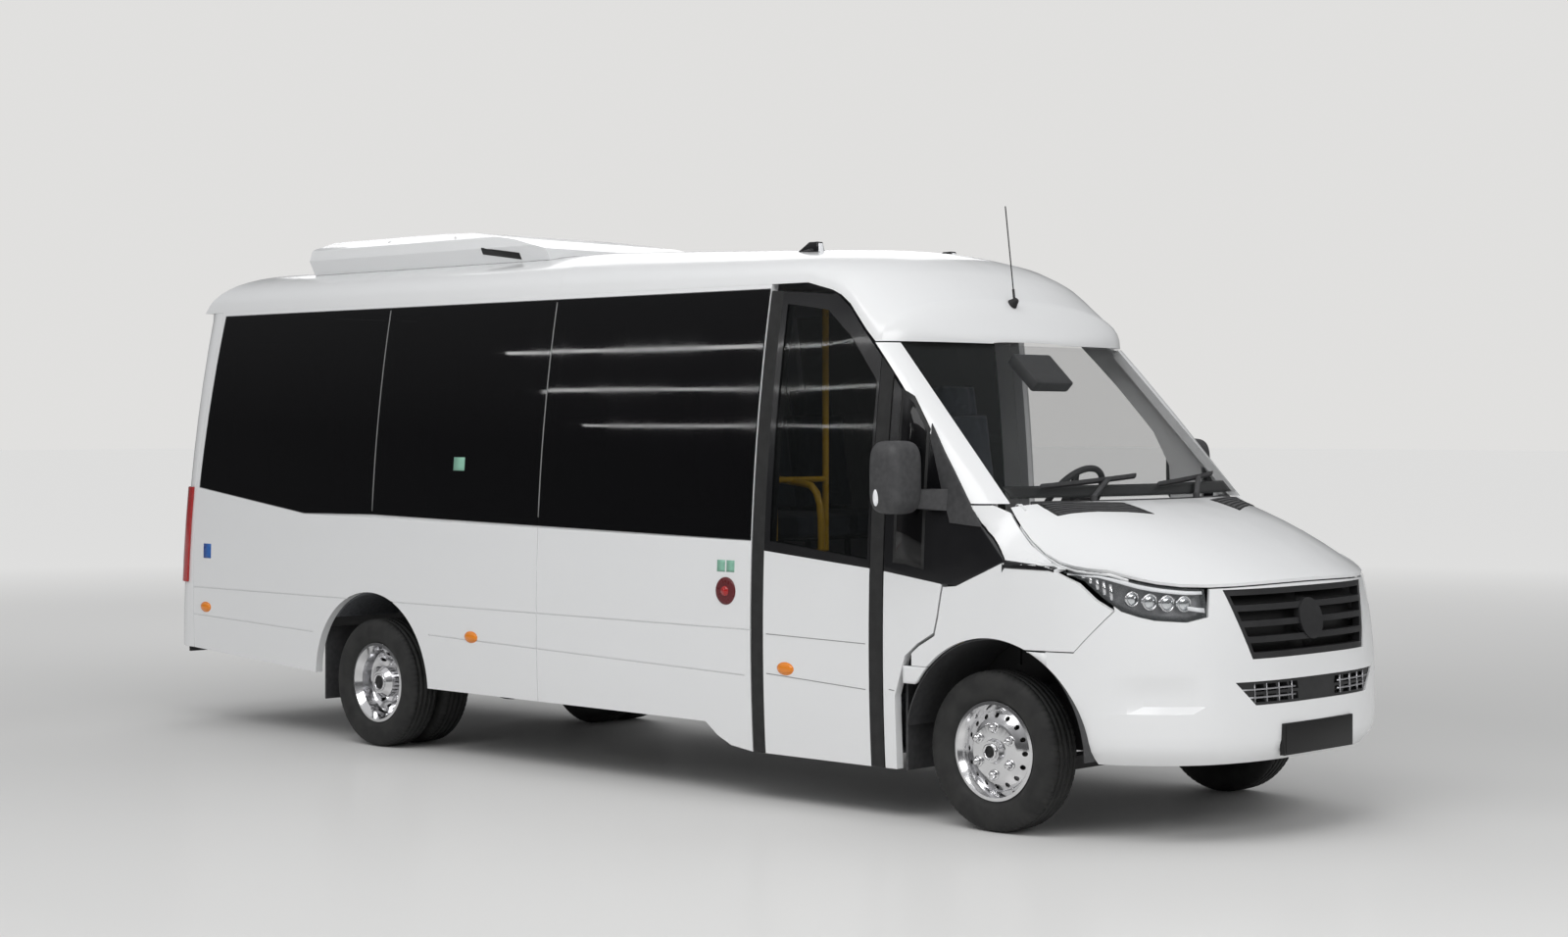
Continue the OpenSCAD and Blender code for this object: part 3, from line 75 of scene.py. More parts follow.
def camera():
    data = bpy.data.cameras.new("photo_camera")
    data.lens = FOCAL_MM
    data.sensor_width = SENSOR_MM
    data.shift_y = (HORIZON_PX - PHOTO_H / 2) / PHOTO_W
    data.clip_end = 200
    obj = bpy.data.objects.new("photo_camera", data)
    obj.location = CAMERA_AT
    obj.rotation_euler = CAMERA_HEADING.to_track_quat("-Z", "Y").to_euler()
    SCENE.collection.objects.link(obj)
    SCENE.camera = obj


# Materials


MATERIALS = {}


def shader(name, color, rough, metal=0.0, **sockets):
    """A material with one principled shader, its constants set on the sockets, kept under its name."""
    mat = bpy.data.materials.new(name)
    mat.use_nodes = True
    bsdf = mat.node_tree.nodes["Principled BSDF"]
    bsdf.inputs["Base Color"].default_value = (*color, 1)
    bsdf.inputs["Roughness"].default_value = rough
    bsdf.inputs["Metallic"].default_value = metal
    for key, value in sockets.items():
        bsdf.inputs[key.replace("_", " ")].default_value = value
    MATERIALS[name] = mat
    return mat


def nodes_of(mat):
    tree = mat.node_tree
    return tree, tree.nodes["Principled BSDF"]


def add(tree, kind, operation=None):
    """New shader node of a kind, with its operation if it has one."""
    node = tree.nodes.new("ShaderNode" + kind)
    if operation:
        node.operation = operation
    return node


def noise(tree, scale, detail=3.0):
    coords = add(tree, "TexCoord")
    tex = add(tree, "TexNoise")
    tex.inputs["Scale"].default_value = scale
    tex.inputs["Detail"].default_value = detail
    tree.links.new(coords.outputs["Object"], tex.inputs["Vector"])
    return tex.outputs["Fac"]


def ramp(tree, source, low, high, start=0.35, end=0.65):
    """Maps a grey value between start and end to the colours low to high."""
    node = add(tree, "ValToRGB")
    node.color_ramp.elements[0].position = start
    node.color_ramp.elements[0].color = (*low, 1)
    node.color_ramp.elements[1].position = end
    node.color_ramp.elements[1].color = (*high, 1)
    tree.links.new(source, node.inputs["Fac"])
    return node.outputs["Color"]


def vary_color(mat, scale, low, high, detail=3.0):
    tree, bsdf = nodes_of(mat)
    tree.links.new(ramp(tree, noise(tree, scale, detail), low, high), bsdf.inputs["Base Color"])
    return mat


def vary_rough(mat, scale, low, high):
    tree, bsdf = nodes_of(mat)
    tree.links.new(ramp(tree, noise(tree, scale), (low,) * 3, (high,) * 3), bsdf.inputs["Roughness"])
    return mat


def bump(mat, scale, strength, distance=0.001, detail=2.0):
    tree, bsdf = nodes_of(mat)
    node = add(tree, "Bump")
    node.inputs["Strength"].default_value = strength
    node.inputs["Distance"].default_value = distance
    tree.links.new(noise(tree, scale, detail), node.inputs["Height"])
    tree.links.new(node.outputs["Normal"], bsdf.inputs["Normal"])
    return mat


def weave(mat, pitch, strength):
    """Crossed waves as a woven cloth's bump."""
    tree, bsdf = nodes_of(mat)
    coords = add(tree, "TexCoord")
    waves = []
    for direction in ("X", "Z"):
        wave = add(tree, "TexWave")
        wave.bands_direction = direction
        wave.inputs["Scale"].default_value = 1 / pitch
        wave.inputs["Distortion"].default_value = 0.6
        tree.links.new(coords.outputs["Object"], wave.inputs["Vector"])
        waves.append(wave.outputs["Fac"])
    cross = add(tree, "Math", "MULTIPLY")
    tree.links.new(waves[0], cross.inputs[0])
    tree.links.new(waves[1], cross.inputs[1])
    node = add(tree, "Bump")
    node.inputs["Strength"].default_value = strength
    node.inputs["Distance"].default_value = pitch * 0.3
    tree.links.new(cross.outputs[0], node.inputs["Height"])
    tree.links.new(node.outputs["Normal"], bsdf.inputs["Normal"])
    return mat


def see_through(name, tint, rough, clear):
    """Tinted glass: part plain gloss, part clear straight-through."""
    mat = shader(name, tint, rough, IOR=1.5, Specular_IOR_Level=0.35)
    nodes_of(mat)[1].inputs["Alpha"].default_value = 1 - clear
    return vary_rough(mat, 3, rough, rough + 0.03)


DOOR_BORDER = ((1.33, 1.175), (2.03, 1.115))


def two_tone(name, low, high, border):
    """Paint that changes colour across a line of (x, z) in the object's own space."""
    mat = shader(name, low, 0.2, Coat_Weight=0.35, Coat_Roughness=0.05)
    tree, bsdf = nodes_of(mat)
    coords = add(tree, "TexCoord")
    parts = add(tree, "SeparateXYZ")
    (x0, z0), (x1, z1) = border
    slope = (z1 - z0) / (x1 - x0)
    line = add(tree, "Math", "MULTIPLY_ADD")
    line.inputs[1].default_value = slope
    line.inputs[2].default_value = z0 - slope * x0
    over = add(tree, "Math", "GREATER_THAN")
    tree.links.new(coords.outputs["Object"], parts.inputs[0])
    tree.links.new(parts.outputs["X"], line.inputs[0])
    tree.links.new(parts.outputs["Z"], over.inputs[0])
    tree.links.new(line.outputs[0], over.inputs[1])
    tree.links.new(ramp(tree, over.outputs[0], low, high), bsdf.inputs["Base Color"])
    return vary_rough(mat, 4, 0.16, 0.24)


bump(vary_rough(shader("white_paint", (0.83, 0.835, 0.84), 0.2, Coat_Weight=0.35,
    Coat_Roughness=0.05), 4, 0.18, 0.27), 900, 0.02, 0.0002)
see_through("dark_glass", (0.002, 0.002, 0.0025), 0.02, 0.1)
see_through("tint_glass", (0.006, 0.007, 0.007), 0.02, 0.6)
see_through("clear_glass", (0.02, 0.025, 0.025), 0.02, 0.87)
see_through("lamp_glass", (0.35, 0.37, 0.38), 0.03, 0.86)
bump(vary_rough(shader("black_trim", (0.008, 0.008, 0.009), 0.12), 5, 0.08, 0.16), 700, 0.02, 0.0002)
bump(vary_color(shader("dark_plastic", (0.05, 0.05, 0.052), 0.55), 40, (0.042, 0.042, 0.044),
    (0.058, 0.058, 0.06)), 900, 0.25, 0.0005)
bump(vary_color(shader("black_rubber", (0.012, 0.012, 0.012), 0.6), 20, (0.01, 0.01, 0.01),
    (0.017, 0.017, 0.017)), 350, 0.2, 0.0004)
bump(vary_color(shader("tyre", (0.018, 0.018, 0.018), 0.72), 14, (0.013, 0.013, 0.013),
    (0.024, 0.024, 0.023)), 260, 0.3, 0.0006)
vary_rough(shader("wheel_silver", (0.78, 0.78, 0.79), 0.12, 1.0), 8, 0.07, 0.18)
bump(vary_rough(shader("frame_black", (0.02, 0.02, 0.021), 0.45), 10, 0.38, 0.55), 120, 0.15)
bump(vary_color(shader("cast_metal", (0.06, 0.06, 0.062), 0.6, 0.5), 25, (0.045, 0.044, 0.043),
    (0.085, 0.083, 0.08)), 220, 0.4)
bump(vary_color(shader("engine_grey", (0.2, 0.2, 0.21), 0.5, 0.8), 18, (0.16, 0.16, 0.165),
    (0.24, 0.24, 0.25)), 180, 0.35)
vary_color(shader("exhaust_steel", (0.3, 0.29, 0.28), 0.4, 0.9), 9, (0.22, 0.2, 0.18),
    (0.36, 0.35, 0.34))
bump(vary_color(shader("floor_grey", (0.1, 0.105, 0.115), 0.7), 60, (0.08, 0.084, 0.092),
    (0.125, 0.13, 0.14)), 240, 0.3)
weave(vary_color(shader("seat_fabric", (0.035, 0.04, 0.055), 0.9, Sheen_Weight=0.2), 30,
    (0.028, 0.032, 0.046), (0.046, 0.052, 0.07)), 0.006, 0.5)
vary_rough(shader("rail_yellow", (0.75, 0.45, 0.02), 0.3, Coat_Weight=0.3), 15, 0.25, 0.38)
vary_rough(shader("amber_lens", (0.85, 0.25, 0.01), 0.2, Coat_Weight=0.5), 20, 0.14, 0.26)
vary_rough(shader("red_lens", (0.42, 0.012, 0.012), 0.16, Coat_Weight=0.5), 20, 0.1, 0.22)
vary_rough(shader("arm_metal", (0.5, 0.5, 0.52), 0.35, 1.0), 40, 0.28, 0.45)
vary_rough(shader("mirror_glass", (0.8, 0.82, 0.84), 0.03, 1.0), 5, 0.02, 0.05)
vary_rough(shader("light_strip", (0.9, 0.91, 0.93), 0.2, Coat_Weight=0.4), 20, 0.15, 0.28)
# Grey for the dark joints between panes and cover panels, and for the lines of painted shade along the door
# and cab creases.
bump(shader("joint_and_crease_shade_grey", (0.3, 0.3, 0.3), 0.6), 300, 0.2)
two_tone("door_paint", (0.83, 0.835, 0.84), (0.006, 0.006, 0.007), DOOR_BORDER)
vary_rough(shader("sign_green", (0.25, 0.5, 0.38), 0.4), 30, 0.35, 0.5)
vary_rough(shader("sign_red", (0.12, 0.012, 0.015), 0.3), 30, 0.25, 0.4)
vary_rough(shader("sign_blue", (0.02, 0.12, 0.42), 0.3), 30, 0.25, 0.4)
# Near-black for the number plate, the screen's band and the radiator mesh, and painted shade in the bonnet
# vents' openings and the air conditioner's slots.
bump(shader("black_and_opening_shade", (0.006, 0.006, 0.006), 0.5), 500, 0.1)

BEVEL_M = 0.004
GLASS_BEVEL_M = 0.0015
WELD_M = 0.0001
SHARP = math.radians(32)


NODE_MATERIALS = {"headlamps": "lamp_glass", "bus_door_glass": "tint_glass", "bus_door": "door_paint",
                  "driver_door_glass": "clear_glass", "grille": "frame_black"}


def dress_nodes():
    """Gives every CAD node its material, soft edges and smooth shading."""
    slots = {row["node"]: row["material_slot"] for row in frame["record"]["subparts"]}
    for name, obj in NODES.items():
        slot = slots[name]
        mat = MATERIALS[NODE_MATERIALS.get(name, slot)]
        obj.data.materials.clear()
        obj.data.materials.append(mat)
        weld = obj.modifiers.new("weld", "WELD")
        weld.merge_threshold = WELD_M
        soft = obj.modifiers.new("soft_edge", "BEVEL")
        soft.width = BEVEL_M if "glass" not in slot else GLASS_BEVEL_M
        soft.segments = 2
        soft.limit_method = "ANGLE"
        soft.angle_limit = SHARP
        soft.use_clamp_overlap = True
        shade = obj.modifiers.new("smooth", "NODES")
        shade.node_group = smooth_group()
        even = obj.modifiers.new("even", "WEIGHTED_NORMAL")
        even.keep_sharp = True


def smooth_group():
    """Geometry nodes that shade faces smooth up to the sharp angle."""
    name = "smooth_by_angle"
    if name in bpy.data.node_groups:
        return bpy.data.node_groups[name]
    group = bpy.data.node_groups.new(name, "GeometryNodeTree")
    group.interface.new_socket("Geometry", in_out="INPUT", socket_type="NodeSocketGeometry")
    group.interface.new_socket("Geometry", in_out="OUTPUT", socket_type="NodeSocketGeometry")
    start = group.nodes.new("NodeGroupInput")
    end = group.nodes.new("NodeGroupOutput")
    angle = group.nodes.new("GeometryNodeInputMeshEdgeAngle")
    limit = group.nodes.new("FunctionNodeCompare")
    limit.operation = "LESS_EQUAL"
    limit.inputs[1].default_value = SHARP
    edges = group.nodes.new("GeometryNodeSetShadeSmooth")
    edges.domain = "EDGE"
    faces = group.nodes.new("GeometryNodeSetShadeSmooth")
    faces.domain = "FACE"
    group.links.new(angle.outputs["Unsigned Angle"], limit.inputs[0])
    group.links.new(start.outputs[0], faces.inputs["Geometry"])
    group.links.new(faces.outputs[0], edges.inputs["Geometry"])
    group.links.new(limit.outputs[0], edges.inputs["Shade Smooth"])
    group.links.new(edges.outputs[0], end.inputs[0])
    return group


# Sizes read back from the frame, in metres


def centre(node):
    low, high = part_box(node)
    return (low + high) / 2


FRONT_AXLE = centre("front_tyre_right")
REAR_AXLE = centre("rear_tyres_right")
WHEEL_Z = FRONT_AXLE.z
TYRE_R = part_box("front_tyre_right")[1].z - WHEEL_Z
TYRE_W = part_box("front_tyre_right")[1].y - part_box("front_tyre_right")[0].y
TWIN_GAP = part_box("rear_tyres_right")[1].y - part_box("rear_tyres_right")[0].y - TYRE_W
BODY_FRONT = CAD_BOX[1][0]
SIDE_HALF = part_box("side_wall_left")[1].y
DOOR_X0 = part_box("bus_door_seals")[0].x
DOOR_X1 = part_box("bus_door_seals")[1].x


# Making meshes


def piece(name, verts, faces, material, body, smooth=True):
    """A mesh object that rides on a body."""
    mesh = bpy.data.meshes.new(name)
    mesh.from_pydata([tuple(v) for v in verts], [], faces)
    mesh.validate()
    mesh.materials.append(MATERIALS[material])
    obj = bpy.data.objects.new(name, mesh)
    SCENE.collection.objects.link(obj)
    for poly in mesh.polygons:
        poly.use_smooth = smooth
    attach(obj, body)
    return obj


def soften(obj, width, segments=2):
    edge = obj.modifiers.new("soft_edge", "BEVEL")
    edge.width = width
    edge.segments = segments
    edge.limit_method = "ANGLE"
    edge.angle_limit = SHARP
    shade = obj.modifiers.new("smooth", "NODES")
    shade.node_group = smooth_group()
    return obj


BOX_FACES = [(3, 2, 1, 0), (4, 5, 6, 7), (0, 1, 5, 4), (1, 2, 6, 5), (2, 3, 7, 6), (3, 0, 4, 7)]


def ring_faces(rings, count):
    """Faces between rings of count points each, closed at both ends."""
    faces = []
    for i in range(0, (rings - 1) * count, count):
        for k in range(count):
            n = (k + 1) % count
            faces.append((i + k, i + n, i + count + n, i + count + k))
    return faces + [tuple(range(count - 1, -1, -1)), tuple((rings - 1) * count + k for k in range(count))]


def turned_faces(count, m):
    """Faces of a profile of m points that is turned round in count steps."""
    faces = []
    for i in range(count):
        k = (i + 1) % count
        faces += [(i * m + j, k * m + j, k * m + j + 1, i * m + j + 1) for j in range(m - 1)]
    return faces


def flipped(grid):
    return [row[::-1] for row in grid]


class Shape:
    """Vertices and faces that are gathered up, then made into one piece."""

    def __init__(self):
        self.verts = []
        self.faces = []

    def add(self, verts, faces):
        start = len(self.verts)
        self.verts += [Vector(v) for v in verts]
        self.faces += [tuple(i + start for i in f) for f in faces]

    def box(self, low, high):
        x0, y0, z0 = low
        x1, y1, z1 = high
        self.add([(x0, y0, z0), (x1, y0, z0), (x1, y1, z0), (x0, y1, z0),
                  (x0, y0, z1), (x1, y0, z1), (x1, y1, z1), (x0, y1, z1)], BOX_FACES)

    def slab(self, top, bottom, flip=False):
        """Closed sheet between two equal grids of points, rows then columns; flip turns its rows round."""
        if flip:
            top, bottom = flipped(top), flipped(bottom)
        rows, cols = len(top), len(top[0])
        n = rows * cols
        faces = []
        for i in range(rows - 1):
            for j in range(cols - 1):
                a, b, c, d = i * cols + j, i * cols + j + 1, (i + 1) * cols + j + 1, (i + 1) * cols + j
                faces += [(a, b, c, d), (n + d, n + c, n + b, n + a)]
        rim = ([j for j in range(cols)] + [i * cols + cols - 1 for i in range(1, rows)]
               + [(rows - 1) * cols + j for j in range(cols - 2, -1, -1)]
               + [i * cols for i in range(rows - 2, 0, -1)])
        for k, a in enumerate(rim):
            b = rim[(k + 1) % len(rim)]
            faces.append((b, a, n + a, n + b))
        self.add([p for row in top for p in row] + [p for row in bottom for p in row], faces)

    def lathe(self, profile, place, count=48, start=0.0):
        """Turns a profile of (radius, along) round the local Z of the matrix place."""
        verts = []
        for i in range(count):
            a = start + 2 * math.pi * i / count
            verts += [place @ Vector((r * math.cos(a), r * math.sin(a), z)) for r, z in profile]
        self.add(verts, turned_faces(count, len(profile)))

    def tube(self, points, radius, sides=8):
        """Round bar along points, closed at both ends."""
        points = [Vector(p) for p in points]
        verts = []
        for i, p in enumerate(points):
            way = (points[min(i + 1, len(points) - 1)] - points[max(i - 1, 0)]).normalized()
            side = way.orthogonal() if i == 0 else side - way * side.dot(way)
            side = side.normalized()
            up = way.cross(side)
            verts += [p + radius * (math.cos(a) * side + math.sin(a) * up)
                      for a in (2 * math.pi * k / sides for k in range(sides))]
        self.add(verts, ring_faces(len(points), sides))

    def make(self, name, material, body="body", slot=None, smooth=True):
        """The piece with its material; the slot argument is not used."""
        return piece(name, self.verts, self.faces, material, body, smooth)


def mix(a, b, t):
    return a + (b - a) * t


def steps(a, b, n):
    return [mix(a, b, i / n) for i in range(n + 1)]


def surface(*names):
    """Ray tree of some CAD nodes' faces."""
    verts, faces = [], []
    for name in names:
        mesh = NODES[name].data
        start = len(verts)
        verts += [v.co.copy() for v in mesh.vertices]
        faces += [tuple(i + start for i in p.vertices) for p in mesh.polygons]
    return BVHTree.FromPolygons(verts, faces)


def cast(tree, start, aim, lift):
    """Point where a ray meets a surface, pushed out by lift against the ray, or None."""
    spot, normal = tree.ray_cast(Vector(start), Vector(aim))[:2]
    return None if spot is None else spot + normal * (lift if normal.dot(Vector(aim)) < 0 else -lift)


def on_side(tree, x, z, side, lift=0.0):
    """Point on the right (-1) or left (1) of a surface."""
    return cast(tree, (x, side * 2.0, z), (0, -side, 0), lift)


def on_top(tree, x, y, lift=0.0):
    return cast(tree, (x, y, 4.0), (0, 0, -1), lift)


def on_front(tree, y, z, lift=0.0):
    return cast(tree, (6.0, y, z), (-1, 0, 0), lift)


def on_rear(tree, y, z, lift=0.0):
    return cast(tree, (-6.0, y, z), (1, 0, 0), lift)


def along(points, spacing):
    """Points set evenly along a polyline of 2-D points."""
    out = []
    for (x0, z0), (x1, z1) in zip(points, points[1:]):
        n = max(1, round(math.hypot(x1 - x0, z1 - z0) / spacing))
        out += [(mix(x0, x1, i / n), mix(z0, z1, i / n)) for i in range(n)]
    return out + [points[-1]]


SUNK = 0.002  # how far laid-on plates reach into what carries them


def side_plate(shape, tree, outline, side, thick):
    """Plate on the side surface: a grid between the lower and the upper edge of an outline of (x, z)."""
    low, high = outline
    rows = [[(mix(a[0], b[0], t), mix(a[1], b[1], t)) for a, b in zip(low, high)] for t in steps(0, 1, 4)]
    top = [[on_side(tree, x, z, side, thick) for x, z in row] for row in rows]
    back = [[on_side(tree, x, z, side, -SUNK) for x, z in row] for row in rows]
    shape.slab(top, back, side > 0)


# Wheels

SIDES = ((-1, "right"), (1, "left"))
TIP = 0.0005  # radius left at the middle of a turned shape
TREAD_PITCHES = 72
STEPS_PER_PITCH = 5
GROOVES = (-0.047, -0.017, 0.017, 0.047)
GROOVE_HALF = 0.0045
GROOVE_SLANT = 0.0008
GROOVE_DEEP = 0.008
SIPE_DEEP = 0.004


def tyre_profile():
    """(radius, along) of a road tyre, from the inner to the outer bead."""
    flank = [(0.582, 0.31), (0.625, 0.318), (0.66, 0.42), (0.72, 0.478), (0.8, 0.498), (0.87, 0.487),
             (0.93, 0.45), (0.968, 0.405), (0.987, 0.36)]
    half = [(r * TYRE_R, w * TYRE_W) for r, w in flank]
    crown = []
    for g in GROOVES:
        crown += [(1, g - GROOVE_HALF - GROOVE_SLANT), (0, g - GROOVE_HALF),
                  (0, g + GROOVE_HALF), (1, g + GROOVE_HALF + GROOVE_SLANT)]
    edge = 0.315 * TYRE_W
    crown = [(1, -edge)] + crown + [(1, edge)]
    tread = [(TYRE_R * (1 - 0.004 * (w / edge) ** 2) - (0 if top else GROOVE_DEEP), w) for top, w in crown]
    return [(r, -w) for r, w in half] + tread + [(r, w) for r, w in half[::-1]]


def tyre(shape, place):
    """Road tyre round the local Z of place, with grooves and cross cuts in the shoulders."""
    profile = tyre_profile()
    count = TREAD_PITCHES * STEPS_PER_PITCH
    verts = []
    for i in range(count):
        a = 2 * math.pi * i / count
        for r, w in profile:
            shoulder = abs(w) > 0.051 and r > 0.955 * TYRE_R
            rib = GROOVES[0] < w < GROOVES[3] and r > 0.99 * TYRE_R
            cut = SIPE_DEEP if shoulder and i % STEPS_PER_PITCH == 0 else 0
            cut = SIPE_DEEP / 2 if rib and i % (2 * STEPS_PER_PITCH) == 0 else cut
            verts.append(place @ Vector(((r - cut) * math.cos(a), (r - cut) * math.sin(a), w)))
    shape.add(verts, turned_faces(count, len(profile)))


def facing_out(side):
    """Turn that points local Z out of the right (-1) or the left (1)."""
    return Matrix.Rotation(-side * math.pi / 2, 4, "X")


def wheel_matrix(x, y, side):
    return Matrix.Translation((x, side * y, WHEEL_Z)) @ facing_out(side)


NUT_CIRCLE = 0.1025
NUT_R = 0.0165
NUT_H = 0.03


def wheel_nuts(shape, place, face, count=6):
    for i in range(count):
        a = 2 * math.pi * (i + 0.5) / count
        spot = place @ Matrix.Translation((NUT_CIRCLE * math.cos(a), NUT_CIRCLE * math.sin(a), face))
        shape.lathe([(0.0, 0.0), (0.024, 0.0), (0.024, 0.004), (NUT_R, 0.005)], spot, 24)
        shape.lathe([(NUT_R, 0.003), (NUT_R, NUT_H * 0.72), (NUT_R * 0.8, NUT_H * 0.92), (TIP, NUT_H)],
                    spot, 6)


def wheel_trim(kind, place, body, hand, nut_face, ring, cap):
    """Nuts, the cover's ring and the hub cap of a wheel, from their profiles."""
    metal = Shape()
    wheel_nuts(metal, place, nut_face)
    metal.lathe(ring, place, 40)
    metal.make(kind + "_nut_covers_" + hand, "wheel_silver", body)
    hub = Shape()
    hub.lathe(cap, place, 32)
    hub.make(kind + "_hub_cap_" + hand, "black_rubber", body)


def wheels():
    for side, hand in SIDES:
        rubber = Shape()
        place = wheel_matrix(FRONT_AXLE.x, abs(FRONT_AXLE.y), side)
        tyre(rubber, place)
        body = "wheel_front_" + hand
        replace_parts(rubber.make("front_road_tyre_" + hand, "tyre", body), "front_tyre_" + hand)
        wheel_trim("front", place, body, hand, 0.062,
                   [(0.036, 0.086), (0.036, 0.097), (0.031, 0.1), (0.026, 0.097), (0.026, 0.086)],
                   [(TIP, 0.0905), (0.0255, 0.0905), (0.0255, 0.087)])
        rubber = Shape()
        place = wheel_matrix(REAR_AXLE.x, abs(REAR_AXLE.y) + TWIN_GAP / 2, side)
        tyre(rubber, place)
        tyre(rubber, place @ Matrix.Translation((0, 0, -TWIN_GAP)))
        body = "wheels_rear_" + hand
        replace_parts(rubber.make("rear_road_tyres_" + hand, "tyre", body), "rear_tyres_" + hand)
        wheel_trim("rear", place, body, hand, -0.1,
                   [(0.05, 0.052), (0.05, 0.058), (0.044, 0.06), (0.036, 0.058), (0.036, 0.052)],
                   [(TIP, 0.0545), (0.0355, 0.0545), (0.0355, 0.051)])


# Nose: the same curve as the solids', in metres

SIDE_R = 8.93
WAIST_Z = 0.8
NOSE_X = FRONT_AXLE.x + 0.062
NOSE_POWER = 2 / 2.8
NOSE_RAKE = 0.251
BUMPER_Z = 0.56


def side_y(z):
    return SIDE_HALF - SIDE_R + math.sqrt(SIDE_R ** 2 - (z - WAIST_Z) ** 2)


def nose(angle, z, inset, side=-1):
    """Point on the nose, its angle in degrees from straight ahead, pushed in by inset."""
    a = math.radians(angle)
    tip = BODY_FRONT - NOSE_RAKE * (z - BUMPER_Z) ** 2
    x = NOSE_X + (tip - NOSE_X - inset) * abs(math.cos(a)) ** NOSE_POWER
    return Vector((x, side * (side_y(z) - inset) * math.sin(a) ** NOSE_POWER, z))


def nose_slab(shape, angles, lows, highs, outer, inner, side, rows=2):
    """Sheet on the nose between two heights at each angle."""
    def grid(inset):
        return [[nose(a, mix(low, high, t), inset, side) for a, low, high in zip(angles, lows, highs)]
                for t in steps(0, 1, rows)]
    shape.slab(grid(outer), grid(inner), side < 0)


LAMP_ANGLES = [31.6, 34, 37, 40, 44, 48, 52, 56, 60, 64, 68, 71, 73.2]
LAMP_EDGE = 0.005
PROJECTORS = ((37.5, 1.015, 0.03), (43.0, 1.018, 0.031), (48.5, 1.024, 0.031), (54.0, 1.036, 0.028))
FIN_ANGLES = (60.5, 62.5, 64.5, 66.5, 68.5)


def lamp_range(tree, angle):
    """Lowest and highest point of the headlamp's face at an angle."""
    hits = []
    for z in steps(0.9, 1.2, 150):
        start = nose(angle, z, -0.1)
        aim = nose(angle, z, 0.03) - start
        hit = tree.ray_cast(start, aim.normalized(), aim.length)
        if hit[0] is not None:
            hits.append(z)
    return min(hits) + LAMP_EDGE, max(hits) - LAMP_EDGE


def headlamps():
    tree = surface("headlamps")
    spans = [lamp_range(tree, a) for a in LAMP_ANGLES]
    lows, highs = [s[0] for s in spans], [s[1] for s in spans]
    for side, hand in SIDES:
        house = Shape()
        nose_slab(house, LAMP_ANGLES, lows, highs, 0.04, 0.052, side, 6)
        house.make("lamp_housing_" + hand, "engine_grey", slot="black_trim")
        strip = Shape()
        tops = [h - 0.004 for h in highs]
        bottoms = [mix(h, low, 0.16 if h - low > 0.05 else 0.4) for low, h in spans]
        nose_slab(strip, LAMP_ANGLES, bottoms, tops, 0.008, 0.018, side)
        inner = [a for a in LAMP_ANGLES if a < 38]
        k = len(inner)
        nose_slab(strip, inner, [mix(lows[i], highs[i], 0.12 + 0.1 * i) for i in range(k)],
                  [mix(lows[i], highs[i], 0.3 + 0.08 * i) for i in range(k)], 0.009, 0.018, side)
        strip.make("lamp_light_strip_" + hand, "light_strip", slot="clear_glass")
        glassy, rings = Shape(), Shape()
        facing = Vector((0.9, side * 0.35, 0.0)).to_track_quat("Z", "Y").to_matrix().to_4x4()
        for a, z, r in PROJECTORS:
            place = Matrix.Translation(nose(a, z, 0.022, side)) @ facing
            glassy.lathe([(TIP, 0.006), (r * 0.5, 0.005), (r * 0.8, 0.002), (r * 0.92, -0.004)], place, 28)
            rings.lathe([(r * 0.92, -0.012), (r * 0.92, 0.0), (r * 1.08, 0.003), (r * 1.18, -0.002),
                         (r * 1.18, -0.014)], place, 28)
        glassy.make("lamp_projectors_" + hand, "mirror_glass", slot="clear_glass")
        rings.make("lamp_bezels_" + hand, "wheel_silver")
        fins = Shape()
        for a in FIN_ANGLES:
            low, high = lamp_range(tree, a)
            nose_slab(fins, [a - 0.45, a + 0.45], [mix(low, high, 0.12)] * 2, [mix(low, high, 0.72)] * 2,
                      0.012, 0.03, side)
        fins.make("lamp_fins_" + hand, "wheel_silver")


BAR_DEPTHS = (0.006, 0.014)


def grille_backs():
    """Dark radiator mesh behind the grille and the lower intake, and the intake's bars."""
    back = Shape()
    for low, high, reach in ((0.76, 1.085, 31), (0.575, 0.695, 33)):
        for side in (-1, 1):
            angles = steps(0.01, reach, 8)
            nose_slab(back, angles, [low] * 9, [high] * 9, 0.062, 0.07, side)
    back.make("radiator_mesh", "black_and_opening_shade", slot="dark_plastic")
    bars = Shape()
    for side in (-1, 1):
        for z, reach in ((0.617, 19.6), (0.651, 21.8)):
            nose_slab(bars, steps(4.6, reach, 10), [z - 0.003] * 11, [z + 0.003] * 11, *BAR_DEPTHS, side)
        for a in (5.6, 9.6, 13.6, 17.6):
            nose_slab(bars, [a - 0.12, a + 0.12], [0.596] * 2, [0.674] * 2, *BAR_DEPTHS, side)
    bars.make("intake_bars", "arm_metal", slot="dark_plastic")


PLATE_W = 0.52
PLATE_H = 0.115
PLATE_Z = 0.43
PLATE_RIM = 0.01


def plates():
    """Blank front number plate in its holder."""
    tree = surface("front_bumper")
    front = Shape()
    zs = steps(PLATE_Z - PLATE_H / 2, PLATE_Z + PLATE_H / 2, 4)
    reach = max(on_front(tree, y, z).x for y in (-PLATE_W / 2, 0, PLATE_W / 2) for z in zs)
    front.box((reach - 0.02, -PLATE_W / 2 - PLATE_RIM, zs[0] - PLATE_RIM),
              (reach + 0.004, PLATE_W / 2 + PLATE_RIM, zs[-1] + PLATE_RIM))
    front.box((reach + 0.004, -PLATE_W / 2, zs[0]), (reach + 0.0065, PLATE_W / 2, zs[-1]))
    soften(front.make("front_plate", "black_and_opening_shade", slot="dark_plastic"), 0.003)


VENT_INNER = (0.257, 0.42)
VENT_OUTER = (0.112, 0.222)
VENT_Y = (0.33, 0.76)
VENT_BARS = 6
VENT_BAR_HALF = 0.045


